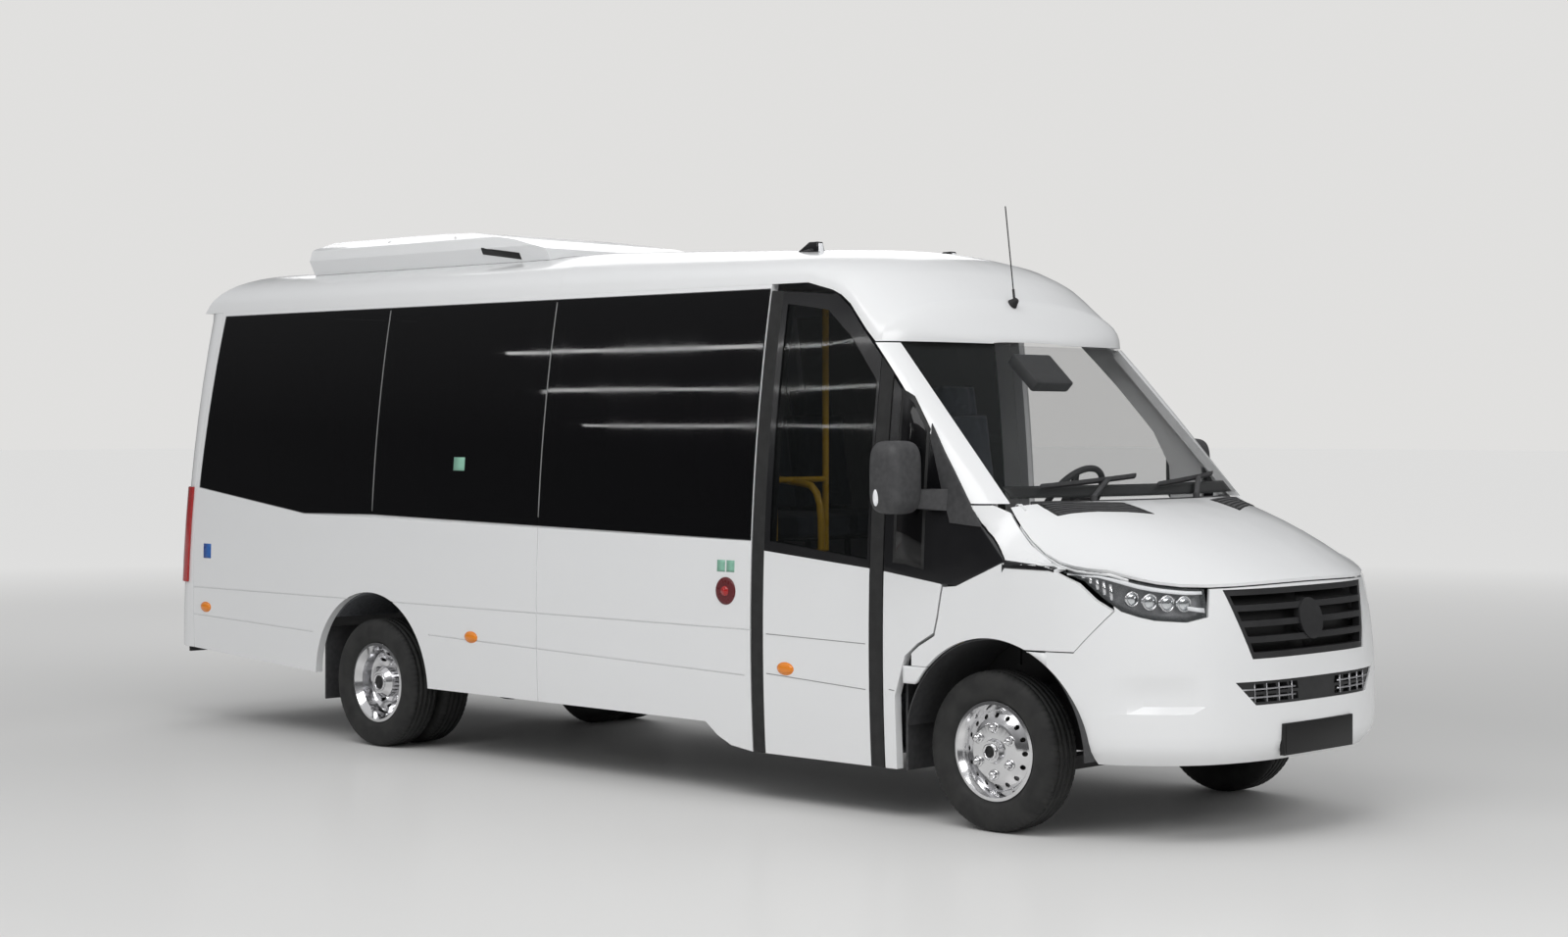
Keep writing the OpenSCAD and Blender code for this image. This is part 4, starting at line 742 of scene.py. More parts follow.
def bonnet_vents():
    """Two louvred intakes let into the bonnet's rear corners, their openings a near-black sheet of painted
    shade under the bars.
    """
    tree = surface("bonnet")
    for side, hand in SIDES:
        def spot(i, j, lift):
            x = FRONT_AXLE.x + mix(mix(*VENT_INNER, i), mix(*VENT_OUTER, i), j)
            return on_top(tree, x, side * mix(*VENT_Y, j), lift)

        def patch(front, back, inner, outer, lift):
            return [[spot(i, j, lift) for j in steps(inner, outer, 10)] for i in steps(front, back, 3)]

        opening_shade, bars = Shape(), Shape()
        # Near-black sheet laid on the bonnet under the bars: painted shade of the vent's openings.
        opening_shade.slab(patch(0, 1, 0, 1, 0.0015), patch(0, 1, 0, 1, -0.003), side < 0)
        for k in range(VENT_BARS):
            t = (k + 0.5) / VENT_BARS
            span = (t - VENT_BAR_HALF, t + VENT_BAR_HALF, 0.03, 0.97)
            bars.slab(patch(*span, 0.0045), patch(*span, 0.0), side < 0)
        opening_shade.make("bonnet_vent_" + hand, "black_and_opening_shade", "bonnet", "dark_plastic")
        bars.make("bonnet_vent_bars_" + hand, "dark_plastic", "bonnet")


def wing_strips():
    """Black strip from the cab trim's tip to the headlamp, under the bonnet's edge."""
    tree = surface("front_wings")
    x0, z0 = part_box("cab_trim")[1].x - 0.01, 1.187
    x1, z1 = FRONT_AXLE.x + 0.385, 1.163
    for side, hand in SIDES:
        pairs = []
        for i, x in enumerate(steps(x0, x1, 24)):
            tall = mix(0.034, 0.014, i / 24)
            top = [z for z in steps(1.08, mix(z0, z1, i / 24), 60) if on_side(tree, x, z, side)]
            high = max(top, default=0.0) - 0.003
            if all(on_side(tree, x, z, side) for z in steps(high - tall, high, 4)):
                pairs.append(((x, high - tall), (x, high)))
        strip = Shape()
        side_plate(strip, tree, ([p[0] for p in pairs], [p[1] for p in pairs]), side, 0.002)
        strip.make("wing_strip_" + hand, "black_trim")


FLANGE_IN = 0.008
FLANGE_GAP = 0.0045
FLANGE_H = 0.013
FLANGE_T = 0.004


def bonnet_flanges():
    """Painted flange of each wing under the bonnet's edge."""
    tree = surface("bonnet")
    low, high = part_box("bonnet")
    for side, hand in SIDES:
        path = []
        for x in steps(low.x + 0.06, high.x - 0.3, 40):
            y = max(y for y in steps(0.5, 0.93, 215) if on_top(tree, x, side * y)) - FLANGE_IN
            under = tree.ray_cast(Vector((x, side * y, 0)), Vector((0, 0, 1)))[0].z
            path.append((x, y, under - FLANGE_GAP))

        def grid(depth):
            return [[Vector((x, side * (y - depth), z - drop)) for x, y, z in path]
                    for drop in (FLANGE_H, 0.0)]

        flange = Shape()
        flange.slab(grid(0.0), grid(FLANGE_T), side > 0)
        flange.make("bonnet_flange_" + hand, "white_paint")


def signs():
    """Small blank signs and labels on the sides and the glass."""
    walls = surface("side_wall_right", "side_windows_right")
    def plate(name, x, z, wide, high, material):
        shape = Shape()
        side_plate(shape, walls, ([(x - wide / 2, z - high / 2), (x + wide / 2, z - high / 2)],
                                  [(x - wide / 2, z + high / 2), (x + wide / 2, z + high / 2)]), -1, 0.0015)
        shape.make(name, material, slot="white_paint")
    plate("sign_exit_a", 1.045, 1.095, 0.052, 0.055, "sign_green")
    plate("sign_exit_b", 1.108, 1.095, 0.052, 0.055, "sign_green")
    plate("sign_glass", -0.945, 1.555, 0.09, 0.07, "sign_green")
    plate("sign_access", -3.25, 1.019, 0.075, 0.085, "sign_blue")
    disc = Shape()
    spot = on_side(walls, 1.078, 0.977, -1, 0.0)
    place = Matrix.Translation(spot) @ Matrix.Rotation(math.pi / 2, 4, "X")
    disc.lathe([(TIP, 0.006), (0.05, 0.006), (0.062, 0.005), (0.066, 0.0), (0.066, -0.004)], place, 40)
    disc.make("release_cover", "sign_red", slot="white_paint")
    cap = Shape()
    cap.lathe([(TIP, 0.014), (0.02, 0.013), (0.024, 0.006)], place, 32)
    cap.make("release_knob", "red_lens")


# Seats

SEAT_W = 0.44
CUSHION_L = 0.46
CUSHION_H = 0.1
BACK_H = 0.68
BACK_T = 0.09
BACK_LEAN = math.radians(9)
SWELL_FRAMES = 14
SWELL_CAP = 0.012
SEAT_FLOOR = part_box("floor")[1].z


def pad_mesh(name, wide, long, thick):
    """Closed pad with drawn-in sides, a crowned top and two sewn channels, puffed by a cloth run."""
    nx, ny, nz = 16, 16, 3
    index = {}
    verts, faces = [], []

    def vert(i, j, k):
        key = (i, j, k)
        if key not in index:
            u, v, w = 2 * i / nx - 1, 2 * j / ny - 1, 2 * k / nz - 1
            draw = 1 - 0.05 * (1 - w * w)
            round_x = math.copysign(1 - (1 - abs(u)) ** 1.15, u)
            round_y = math.copysign(1 - (1 - abs(v)) ** 1.15, v)
            crown = 0.16 * (1 - u * u) * (1 - v * v)
            edge = 1 - 0.25 * max(abs(u), abs(v)) ** 8
            index[key] = len(verts)
            verts.append((round_x * wide / 2 * draw, round_y * long / 2 * draw,
                          thick * (w / 2 * edge + (crown if w > 0 else 0))))
        return index[key]

    def quad(a, b, c, d):
        faces.append((vert(*a), vert(*b), vert(*c), vert(*d)))

    for i in range(nx):
        for j in range(ny):
            quad((i, j, nz), (i + 1, j, nz), (i + 1, j + 1, nz), (i, j + 1, nz))
            quad((i, j + 1, 0), (i + 1, j + 1, 0), (i + 1, j, 0), (i, j, 0))
    for k in range(nz):
        for i in range(nx):
            quad((i, 0, k), (i + 1, 0, k), (i + 1, 0, k + 1), (i, 0, k + 1))
            quad((i + 1, ny, k), (i, ny, k), (i, ny, k + 1), (i + 1, ny, k + 1))
        for j in range(ny):
            quad((0, j + 1, k), (0, j, k), (0, j, k + 1), (0, j + 1, k + 1))
            quad((nx, j, k), (nx, j + 1, k), (nx, j + 1, k + 1), (nx, j, k + 1))
    mesh = bpy.data.meshes.new(name)
    mesh.from_pydata(verts, [], faces)
    swell(mesh)
    channel(mesh, wide, thick)
    return mesh


def swell(mesh):
    """Puffs a pad with Cloth pressure, each point moving no further than the cap."""
    rest = [v.co.copy() for v in mesh.vertices]
    obj = bpy.data.objects.new("swelling_pad", mesh)
    SCENE.collection.objects.link(obj)
    cloth = obj.modifiers.new("cloth", "CLOTH")
    cloth.settings.use_pressure = True
    cloth.settings.uniform_pressure_force = 4
    cloth.settings.effector_weights.gravity = 0
    cloth.settings.quality = 5
    cloth.point_cache.frame_start = 1
    cloth.point_cache.frame_end = SWELL_FRAMES
    for step in range(1, SWELL_FRAMES + 1):
        SCENE.frame_set(step)
    shaped = obj.evaluated_get(bpy.context.evaluated_depsgraph_get()).data
    moved = [v.co.copy() for v in shaped.vertices]
    bpy.data.objects.remove(obj)
    SCENE.frame_set(1)
    for vert, start, end in zip(mesh.vertices, rest, moved):
        shift = end - start
        vert.co = start + shift * min(1, SWELL_CAP / max(shift.length, 1e-9))


def channel(mesh, wide, thick):
    """Presses two sewn channels into the pad's top."""
    for vert in mesh.vertices:
        if vert.co.z > 0:
            for x in (-wide * 0.3, wide * 0.3):
                vert.co.z -= 0.1 * thick * math.exp(-((vert.co.x - x) / 0.012) ** 2)


def joined(name, mesh, places):
    """One piece of cloth: a mesh repeated at several places, with one subdivision."""
    shape = Shape()
    verts = [v.co.copy() for v in mesh.vertices]
    faces = [tuple(p.vertices) for p in mesh.polygons]
    for place in places:
        shape.add([place @ v for v in verts], faces)
    obj = shape.make(name, "seat_fabric")
    sub = obj.modifiers.new("round", "SUBSURF")
    sub.levels = sub.render_levels = 1
    return obj


def seat_spots():
    """Places of the seats: rows of one and two behind the door, and the driver's."""
    first = REAR_AXLE.x - 0.88
    spots = [Vector((first + 0.73 * i, y, SEAT_FLOOR)) for i in range(5) for y in (-0.65, 0.23, 0.675)]
    return spots + [Vector((FRONT_AXLE.x - 1.058, 0.43, SEAT_FLOOR))]


def seats():
    spots = seat_spots()
    lean = Matrix.Rotation(-BACK_LEAN, 4, "Y")
    upright = Matrix.Rotation(math.pi / 2, 4, "Y") @ Matrix.Rotation(math.pi / 2, 4, "Z")
    flat = Matrix.Rotation(math.pi / 2, 4, "Z")
    cushion = pad_mesh("cushion_form", SEAT_W - 0.02, CUSHION_L, CUSHION_H)
    back = pad_mesh("back_form", SEAT_W - 0.03, BACK_H - 0.16, BACK_T)
    rest = pad_mesh("headrest_form", 0.27, 0.15, BACK_T * 0.9)
    base = [Matrix.Translation(p + Vector((-0.005, 0, 0.385))) @ flat for p in spots]
    hinge = [Matrix.Translation(p + Vector((-0.205, 0, 0.42))) @ lean for p in spots]
    cushions = joined("seat_cushions", cushion, base)
    backs = joined("seat_backs", back, [h @ Matrix.Translation((0, 0, 0.3)) @ upright for h in hinge])
    rests = joined("seat_headrests", rest,
                   [h @ Matrix.Translation((-0.005, 0, 0.62)) @ upright for h in hinge])
    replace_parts(cushions, "seats")
    legs = Shape()
    shells = Shape()
    for p, h in zip(spots, hinge):
        leg = -math.copysign(0.14, p.y) if abs(p.y) > 0.5 else 0.0
        for x in (-0.13, 0.11):
            legs.tube([p + Vector((x, leg, 0.0)), p + Vector((x * 0.8, leg, 0.335))], 0.017, 10)
        legs.box(p + Vector((-0.17, leg - 0.03, 0.0)), p + Vector((0.15, leg + 0.03, 0.012)))
        legs.box(p + Vector((-0.2, -SEAT_W / 2 + 0.03, 0.315)), p + Vector((0.2, SEAT_W / 2 - 0.03, 0.335)))

        def shell(grow):
            return [[h @ Vector((-0.048 - grow - 0.012 * math.cos(2.6 * v), SEAT_W / 2 * 0.96 * v, z))
                     for v in steps(-1, 1, 8)] for z in steps(0.0, 0.56, 8)]

        shells.slab(shell(0.014), shell(0.0), True)
        for y in (-0.07, 0.07):
            legs.tube([h @ Vector((-0.005, y, 0.54)), h @ Vector((-0.005, y, 0.6))], 0.007, 8)
    legs.make("seat_legs", "frame_black")
    soften(shells.make("seat_shells", "dark_plastic"), 0.004)


# Lenses, seams and fittings

LENS = [(TIP, 1.0), (0.45, 0.94), (0.75, 0.74), (0.93, 0.4), (1.0, 0.0), (1.0, -0.4)]
MARKER = (0.098, 0.052, 0.012)
MARKER_BACK = (0.108, 0.062, 0.004)


def side_frame(tree, x, z, side):
    """Matrix on the side surface, its Z outward."""
    return Matrix.Translation(on_side(tree, x, z, side)) @ facing_out(side)


def oval(shape, place, wide, high, deep):
    shape.lathe(LENS, place @ Matrix.Diagonal((wide / 2, high / 2, deep, 1)), 36)


def wedge(shape, place, low, high, rise):
    """Block between a lower and an upper rectangle, each x0, x1, y0, y1, on the local XY plane of place."""
    verts = []
    for (x0, x1, y0, y1), z in ((low, 0.0), (high, rise)):
        verts += [place @ Vector(p) for p in ((x0, y0, z), (x1, y0, z), (x1, y1, z), (x0, y1, z))]
    shape.add(verts, BOX_FACES)


def marker_lenses():
    """Amber side lamps, the bus door's own among them, and two small roof lamps."""
    lenses, backs = Shape(), Shape()
    for side, wall in ((-1, "side_wall_right"), (1, "side_wall_left")):
        tree = surface(wall)
        for x, z in ((REAR_AXLE.x - 1.577, 0.689), (REAR_AXLE.x + 0.875, 0.651)):
            place = side_frame(tree, x, z, side)
            oval(lenses, place, *MARKER)
            oval(backs, place, *MARKER_BACK)
    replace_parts(lenses.make("side_marker_lenses", "amber_lens"), "marker_lamps")
    backs.make("side_marker_backs", "amber_lens")
    door = Shape()
    place = side_frame(surface("bus_door"), DOOR_X0 + 0.222, 0.636, -1)
    oval(door, place, *MARKER)
    oval(door, place, *MARKER_BACK)
    door.make("door_marker_lens", "amber_lens", "bus_door_leaf")
    tree = surface("roof_front")
    cases, glow = Shape(), Shape()
    for side in (-1, 1):
        spot = on_top(tree, FRONT_AXLE.x - 1.48, side * 0.5, -0.004)
        place = Matrix.Translation(spot)
        wedge(cases, place, (-0.075, 0.062, -0.028, 0.028), (0.0, 0.056, -0.02, 0.02), 0.05)
        wedge(glow, place, (0.05, 0.066, -0.018, 0.018), (0.046, 0.0605, -0.014, 0.014), 0.042)
    soften(cases.make("roof_lamp_cases", "black_trim"), 0.006)
    soften(glow.make("roof_lamp_lenses", "light_strip", slot="clear_glass"), 0.003)


def side_line(shape, tree, points, side, width, lift=0.0008):
    """Thin line along points of (x, z) on a side surface."""
    low, high = [], []
    path = along(points, 0.08)
    for i, (x, z) in enumerate(path):
        (xa, za), (xb, zb) = path[max(i - 1, 0)], path[min(i + 1, len(path) - 1)]
        size = math.hypot(xb - xa, zb - za)
        nx, nz = -(zb - za) / size * width / 2, (xb - xa) / size * width / 2
        low.append((x - nx, z - nz))
        high.append((x + nx, z + nz))
    if all(on_side(tree, x, z, side) for x, z in low + high):
        side_plate(shape, tree, (low, high), side, lift)


def seams():
    """Joints between panes, and lines of painted shade along the creases of the door and cab side."""
    for side, hand in SIDES:
        tree = surface("side_windows_" + hand, "side_wall_" + hand)
        joints = Shape()
        for x in (FRONT_AXLE.x - 2.926, REAR_AXLE.x + 0.012):
            side_line(joints, tree, [(x, 1.29), (x, 2.39)], side, 0.007)
        joints.make("pane_joints_" + hand, "joint_and_crease_shade_grey", slot="black_rubber")
    # Thin grey lines laid on the door and cab side are painted shade along their creases; the sheet itself is
    # not folded.
    crease_shade = Shape()
    tree = surface("bus_door")
    for z0, z1 in ((0.79, 0.78), (0.606, 0.575)):
        side_line(crease_shade, tree, [(DOOR_X0 + 0.1, z0), (DOOR_X1 - 0.1, z1)], -1, 0.004)
    crease_shade.make("door_crease_shade_lines", "joint_and_crease_shade_grey", "bus_door_leaf", "white_paint")
    crease_shade = Shape()
    tree = surface("cab_side_right")
    side_line(crease_shade, tree, [(DOOR_X1 + 0.04, 0.786), (FRONT_AXLE.x - 0.385, 0.784)], -1, 0.004)
    side_line(crease_shade, tree, [(DOOR_X1 + 0.04, 0.586), (FRONT_AXLE.x - 0.5, 0.582)], -1, 0.004)
    crease_shade.make("cab_crease_shade_lines", "joint_and_crease_shade_grey", slot="white_paint")


def skin(x, z, side, depth):
    """Point on the side's own curve, set in by depth."""
    return Vector((x, side * (side_y(z) - depth), z))


def side_sheet(shape, columns, side, outer, inner):
    """Sheet on the side's curve through columns of (x, lower z, upper z)."""
    def grid(depth):
        return [[skin(x, mix(a, b, t), side, depth) for x, a, b in columns] for t in steps(0, 1, 6)]
    shape.slab(grid(outer), grid(inner), side > 0)


CASE_HALF = Vector((0.088, 0.103, 0.16))
CASE_POWER = 4


def mirror_case(shape, middle, back_x):
    """Rounded housing over a mirror's head, flat behind where the panes sit."""
    def corner(t):
        return math.copysign(abs(t) ** (2 / CASE_POWER), t)
    count, verts = 48, []
    rings = steps(-89, 89, 24)
    for lat in rings:
        a = math.radians(lat)
        flat, rise = corner(math.cos(a)), corner(math.sin(a))
        for k in range(count):
            b = 2 * math.pi * k / count
            spot = Vector((flat * corner(math.cos(b)), flat * corner(math.sin(b)), rise)) * CASE_HALF + middle
            verts.append((max(spot.x, back_x), spot.y, spot.z))
    shape.add(verts, ring_faces(len(rings), count))


ARCH_AT = Vector((FRONT_AXLE.x + 0.041, 0, WHEEL_Z - 0.004))
ARCH_R = 0.5
WING_SPLIT_Z = 0.8
CORNER_T = 0.02


def arch_z(x):
    return ARCH_AT.z + math.sqrt(ARCH_R ** 2 - (x - ARCH_AT.x) ** 2)


def bumper_corners():
    """Painted corners of the bumper between the wheel arch and the wing."""
    angles = [79.8, 81, 82, 83, 84, 84.5]
    for side, hand in SIDES:
        lows = [min(arch_z(nose(a, 0.77, 0.0).x), WING_SPLIT_Z - 0.001) for a in angles]
        corner = Shape()
        nose_slab(corner, angles, lows, [WING_SPLIT_Z] * len(angles), 0.0, CORNER_T, side)
        corner.make("bumper_corner_" + hand, "white_paint")


def cab_corner():
    """Painted panel behind the right wheel arch, from the cab side to the arch's edge."""
    tree = surface("cab_side_right")
    low, high = 0.62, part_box("front_wings")[0].z - 0.003
    covered = [x for x in steps(2.1, 2.4, 300) for z in steps(low, high, 4) if on_side(tree, x, z, -1)]
    start = max(covered) + 0.003
    end = ARCH_AT.x - math.sqrt(ARCH_R ** 2 - (high - ARCH_AT.z) ** 2)
    columns = [(x, min(max(low, arch_z(x)), high - 0.0005), high) for x in steps(start, end, 12)]
    corner = Shape()
    side_sheet(corner, columns, -1, 0.0, CORNER_T)
    corner.make("cab_corner", "white_paint")


def wheel_houses():
    """Dark inner walls of the front wheel arches, clear of the turned wheels."""
    walls = Shape()
    for side in (-1, 1):
        ya, yb = sorted((side * 0.535, side * 0.545))
        walls.box((ARCH_AT.x - 0.42, ya, 0.335), (ARCH_AT.x + 0.46, yb, 0.84))
    walls.make("wheel_house_walls", "frame_black", smooth=False)


GLASS_BACK = 0.0085
FRIT_T = 0.002


def screen_fittings():
    """Black band along the windscreen's foot and the camera housing at its top, both behind the glass."""
    tree = surface("windscreen")
    low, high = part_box("windscreen")

    def sheet(shape, ys, zs, front, back):
        shape.slab([[on_front(tree, y, z, -front) for y in ys] for z in zs],
                   [[on_front(tree, y, z, -back) for y in ys] for z in zs])

    band = Shape()
    sheet(band, steps(low.y + 0.03, high.y - 0.03, 40), steps(low.z + 0.012, low.z + 0.062, 4),
          GLASS_BACK, GLASS_BACK + FRIT_T)
    band.make("screen_band", "black_and_opening_shade", slot="black_rubber")
    unit = Shape()
    sheet(unit, steps(-0.14, 0.14, 8), steps(high.z - 0.17, high.z - 0.03, 6), GLASS_BACK, 0.07)
    soften(unit.make("screen_camera", "dark_plastic"), 0.012)


MIRROR_FOOT = [(2.318, 1.70, 1.768), (2.40, 1.47, 1.645), (2.452, 1.335, 1.575), (2.54, 1.328, 1.45),
               (2.625, 1.322, 1.33)]


def cab_details():
    """Quarter light, and the mirrors' foot plate, cases, panes and lamps."""
    glass, rim = Shape(), Shape()
    x0, x1 = DOOR_X1 + 0.075, DOOR_X1 + 0.225
    bend = mix(x0, x1, 0.4)
    side_sheet(glass, [(x0, 1.17, 1.9), (bend, 1.165, 1.86), (x1, 1.145, 1.73)], -1, -0.002, 0.004)
    side_sheet(rim, [(x0 - 0.016, 1.15, 1.925), (bend, 1.145, 1.89), (x1 + 0.016, 1.125, 1.745)],
               -1, -0.001, 0.004)
    glass.make("quarter_light", "dark_glass")
    rim.make("quarter_light_rim", "black_rubber")
    for side, hand, body in ((-1, "right", "body"), (1, "left", "driver_door")):
        if side < 0:
            foot = Shape()
            side_sheet(foot, MIRROR_FOOT, side, -0.006, 0.003)
            soften(foot.make("mirror_foot_plate_" + hand, "dark_plastic", body), 0.003)
        low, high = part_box("mirror_" + hand)
        out = high.y if side > 0 else low.y
        case = Shape()
        mirror_case(case, Vector((low.x + 0.0705, out - side * 0.086, (low.z + high.z) / 2)), low.x - 0.0015)
        case.make("mirror_case_" + hand, "dark_plastic", body)
        pane = Shape()
        ya, yb = sorted((out - side * 0.03, out - side * 0.145))
        pane.box((low.x - 0.003, ya, low.z + 0.12), (low.x + 0.004, yb, high.z - 0.03))
        pane.box((low.x - 0.003, ya, low.z + 0.03), (low.x + 0.004, yb, low.z + 0.105))
        soften(pane.make("mirror_panes_" + hand, "mirror_glass", body, "clear_glass"), 0.003)
        lamp = Shape()
        spot = (mix(low.x, high.x, 0.2), out + side * 0.014, low.z + 0.06)
        oval(lamp, Matrix.Translation(spot) @ facing_out(side), 0.03, 0.075, 0.006)
        lamp.make("mirror_lamp_" + hand, "light_strip", body, "clear_glass")


RAIL_R = 0.017


def grab_rail():
    """Yellow rail seen through the bus door's glass, down to the step."""
    rail = Shape()
    y = -0.7
    path = [(1.1, 1.504), (1.3, 1.482), (1.345, 1.472), (1.378, 1.44), (1.397, 1.39), (1.407, 1.315),
            (1.409, 1.194), (1.409, 0.51)]
    rail.tube([(x, y, z) for x, z in along(path, 0.05)], RAIL_R, 14)
    rail.tube([(1.1, y, 1.504), (1.1, y, 0.735)], RAIL_R, 14)
    rail.make("grab_rail", "rail_yellow")


def handles():
    """Handles of the driver's door and of the rear doors."""
    tree = surface("driver_door")
    grip, cup = Shape(), Shape()
    place = side_frame(tree, FRONT_AXLE.x - 1.2, 1.09, 1)
    oval(cup, place, 0.13, 0.07, 0.002)
    wedge(grip, place, (-0.1, 0.1, -0.015, 0.015), (-0.085, 0.085, -0.011, 0.011), 0.032)
    soften(grip.make("driver_handle", "white_paint", "driver_door"), 0.008)
    cup.make("driver_handle_cup", "black_trim", "driver_door")
    tree = surface("rear_door_left")
    grip, cup = Shape(), Shape()
    low, high = on_rear(tree, 0.1, 1.0), on_rear(tree, 0.1, 1.2)
    place = Matrix.Translation((low + high) / 2) @ (high - low).to_track_quat("Y", "X").to_matrix().to_4x4()
    if (place.to_3x3() @ Vector((0, 0, 1))).x > 0:
        place = place @ Matrix.Rotation(math.pi, 4, "Y")
    oval(cup, place, 0.09, 0.2, 0.002)
    wedge(grip, place, (-0.02, 0.02, -0.1, 0.1), (-0.014, 0.014, -0.085, 0.085), 0.034)
    soften(grip.make("rear_handle", "black_trim", "rear_door_left"), 0.008)
    cup.make("rear_handle_cup", "black_trim", "rear_door_left")


def tail_lenses():
    """Amber and clear fields on the tail lamps' rear faces, and the high brake lamp."""
    tree = surface("tail_lamps")
    for name, z0, z1, material in (("turn", 1.06, 1.2, "amber_lens"), ("reverse", 0.93, 1.03, "light_strip")):
        for side, hand in SIDES:
            field = Shape()
            ys = steps(0.87, 0.965, 6)
            zs = steps(z0, z1, 4)
            if side > 0:
                ys = ys[::-1]
            if all(on_rear(tree, side * y, z) for y in ys for z in zs):
                field.slab([[on_rear(tree, side * y, z, 0.0025) for y in ys] for z in zs],
                           [[on_rear(tree, side * y, z, -0.002) for y in ys] for z in zs])
                soften(field.make(name + "_lens_" + hand, material, "body", "red_lens"), 0.0015)
    tree = surface("roof_rear")
    ys, zs = steps(-0.16, 0.16, 8), steps(2.455, 2.48, 2)
    brake = Shape()
    brake.slab([[on_rear(tree, y, z, 0.008) for y in ys[::-1]] for z in zs],
               [[on_rear(tree, y, z, -0.002) for y in ys[::-1]] for z in zs])
    soften(brake.make("high_brake_lens", "red_lens"), 0.003)


def air_outlets():
    """Slots of the roof air conditioner as dark strips of painted shade, and its cover joints."""
    tree = surface("air_conditioner")
    # Dark strips laid on the cover's sides are painted shade of the slots.
    opening_shade = Shape()
    for side in (-1, 1):
        low = [(x, 2.69 - 0.02 * i) for i, x in enumerate((-1.2, -1.05, -0.9))]
        high = [(x, z + 0.035) for x, z in low]
        if all(on_side(tree, x, z, side) for x, z in low + high):
            side_plate(opening_shade, tree, (low, high), side, 0.002)
    if opening_shade.verts:
        opening_shade.make("air_slot_shade", "black_and_opening_shade", slot="dark_plastic")
    lines = Shape()
    for x in (-2.1, -1.5):
        def strip(lift):
            return [[on_top(tree, x + d, y, lift) for y in steps(-0.56, 0.56, 16)] for d in (-0.004, 0.004)]

        lines.slab(strip(0.001), strip(-SUNK))
    lines.make("air_cover_joints", "joint_and_crease_shade_grey", slot="black_rubber")


# Stage: lamps as name, place, target, width, height and watts

HALL_PALE = (0.75, 0.745, 0.735, 1)
GLOW_REACH = 40.0
FLOOR_HALF = 150
LAMPS = (
    ("key_lamp", (3.0, -6.0, 7.5), (0, 0, 1), 9, 4, 330),
    ("front_lamp", (10.0, -2.0, 5.0), (2, 0, 1), 5, 3, 170),
    ("back_lamp", (-7.0, 6.0, 6.0), (0, 0, 1), 7, 4, 130),
    ("strip_lamp_near", (-8.0, -9.5, 5.2), (-8.0, -2, 0), 7, 0.07, 18),
    ("strip_lamp_mid", (-9.0, -11.5, 4.9), (-9.0, -2, 0), 8, 0.07, 18),
    ("strip_lamp_far", (-10.5, -14.0, 4.6), (-10.5, -2, 0), 9, 0.07, 18),
)


def far_glow(mat):
    """Lifts the far floor to the hall's own paleness, for the camera alone."""
    tree, bsdf = nodes_of(mat)
    link = tree.links.new
    coords = add(tree, "TexCoord")
    size = add(tree, "VectorMath", "LENGTH")
    share = add(tree, "Math", "DIVIDE")
    share.inputs[1].default_value = GLOW_REACH
    seen = add(tree, "LightPath")
    both = add(tree, "Math", "MULTIPLY")
    link(coords.outputs["Object"], size.inputs[0])
    link(size.outputs["Value"], share.inputs[0])
    link(ramp(tree, share.outputs[0], (0, 0, 0), (0.5, 0.5, 0.5), 0.12, 0.5), both.inputs[0])
    link(seen.outputs["Is Camera Ray"], both.inputs[1])
    link(both.outputs[0], bsdf.inputs["Emission Strength"])
    bsdf.inputs["Emission Color"].default_value = HALL_PALE


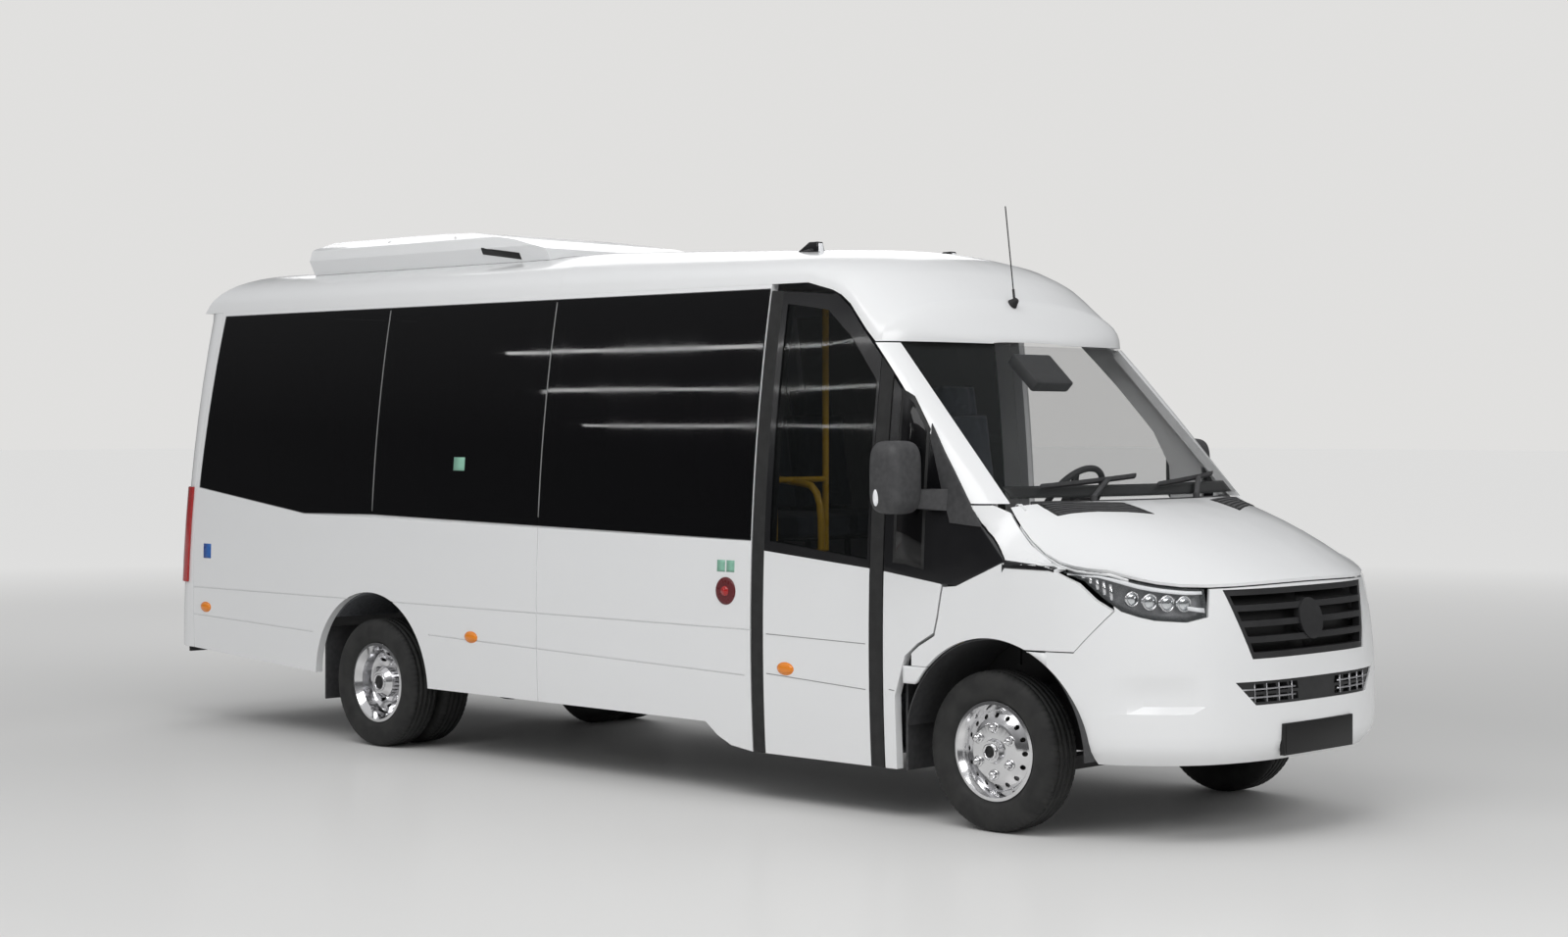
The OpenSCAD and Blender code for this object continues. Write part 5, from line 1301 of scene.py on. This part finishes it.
def stage():
    """Pale floor, soft lamps and an even pale world."""
    far = FLOOR_HALF
    mesh = bpy.data.meshes.new("ground")
    mesh.from_pydata([(-far, -far, 0), (far, -far, 0), (far, far, 0), (-far, far, 0)], [], [(0, 1, 2, 3)])
    ground = bpy.data.objects.new("ground", mesh)
    mat = shader("pale_floor", (0.78, 0.775, 0.765), 0.25, 0.1, Specular_IOR_Level=0.0)
    far_glow(mat)
    mesh.materials.append(mat)
    SCENE.collection.objects.link(ground)
    for name, place, target, wide, high, power in LAMPS:
        data = bpy.data.lights.new(name, "AREA")
        data.shape = "RECTANGLE"
        data.size = wide
        data.size_y = high
        data.energy = power
        lamp = bpy.data.objects.new(name, data)
        lamp.location = place
        lamp.rotation_euler = (Vector(target) - Vector(place)).to_track_quat("-Z", "Y").to_euler()
        SCENE.collection.objects.link(lamp)
    world = bpy.data.worlds.new("studio")
    world.use_nodes = True
    tree = world.node_tree
    link = tree.links.new
    back = tree.nodes["Background"]
    back.inputs["Color"].default_value = (0.86, 0.87, 0.88, 1)
    back.inputs["Strength"].default_value = 0.55
    seen = add(tree, "Background")
    seen.inputs["Color"].default_value = HALL_PALE
    hall = add(tree, "Background")
    coords = add(tree, "TexCoord")
    parts = add(tree, "SeparateXYZ")
    link(coords.outputs["Generated"], parts.inputs[0])
    shade = ramp(tree, parts.outputs["Z"], (0.1, 0.1, 0.102), (0.6, 0.6, 0.61), 0.12, 0.75)
    link(shade, hall.inputs["Color"])
    rays = add(tree, "LightPath")
    either = add(tree, "Math", "MAXIMUM")
    pick = add(tree, "MixShader")
    gloss = add(tree, "MixShader")
    link(rays.outputs["Is Camera Ray"], either.inputs[0])
    link(rays.outputs["Is Transmission Ray"], either.inputs[1])
    link(either.outputs[0], pick.inputs[0])
    link(back.outputs[0], pick.inputs[1])
    link(seen.outputs[0], pick.inputs[2])
    link(rays.outputs["Is Glossy Ray"], gloss.inputs[0])
    link(pick.outputs[0], gloss.inputs[1])
    link(hall.outputs[0], gloss.inputs[2])
    link(gloss.outputs[0], tree.nodes["World Output"].inputs[0])
    SCENE.world = world
    SCENE.view_settings.view_transform = "Standard"


camera()
stage()
dress_nodes()
wheels()
headlamps()
grille_backs()
plates()
bonnet_vents()
wing_strips()
bonnet_flanges()
signs()
seats()
marker_lenses()
seams()
cab_details()
bumper_corners()
cab_corner()
wheel_houses()
screen_fittings()
grab_rail()
handles()
tail_lenses()
air_outlets()
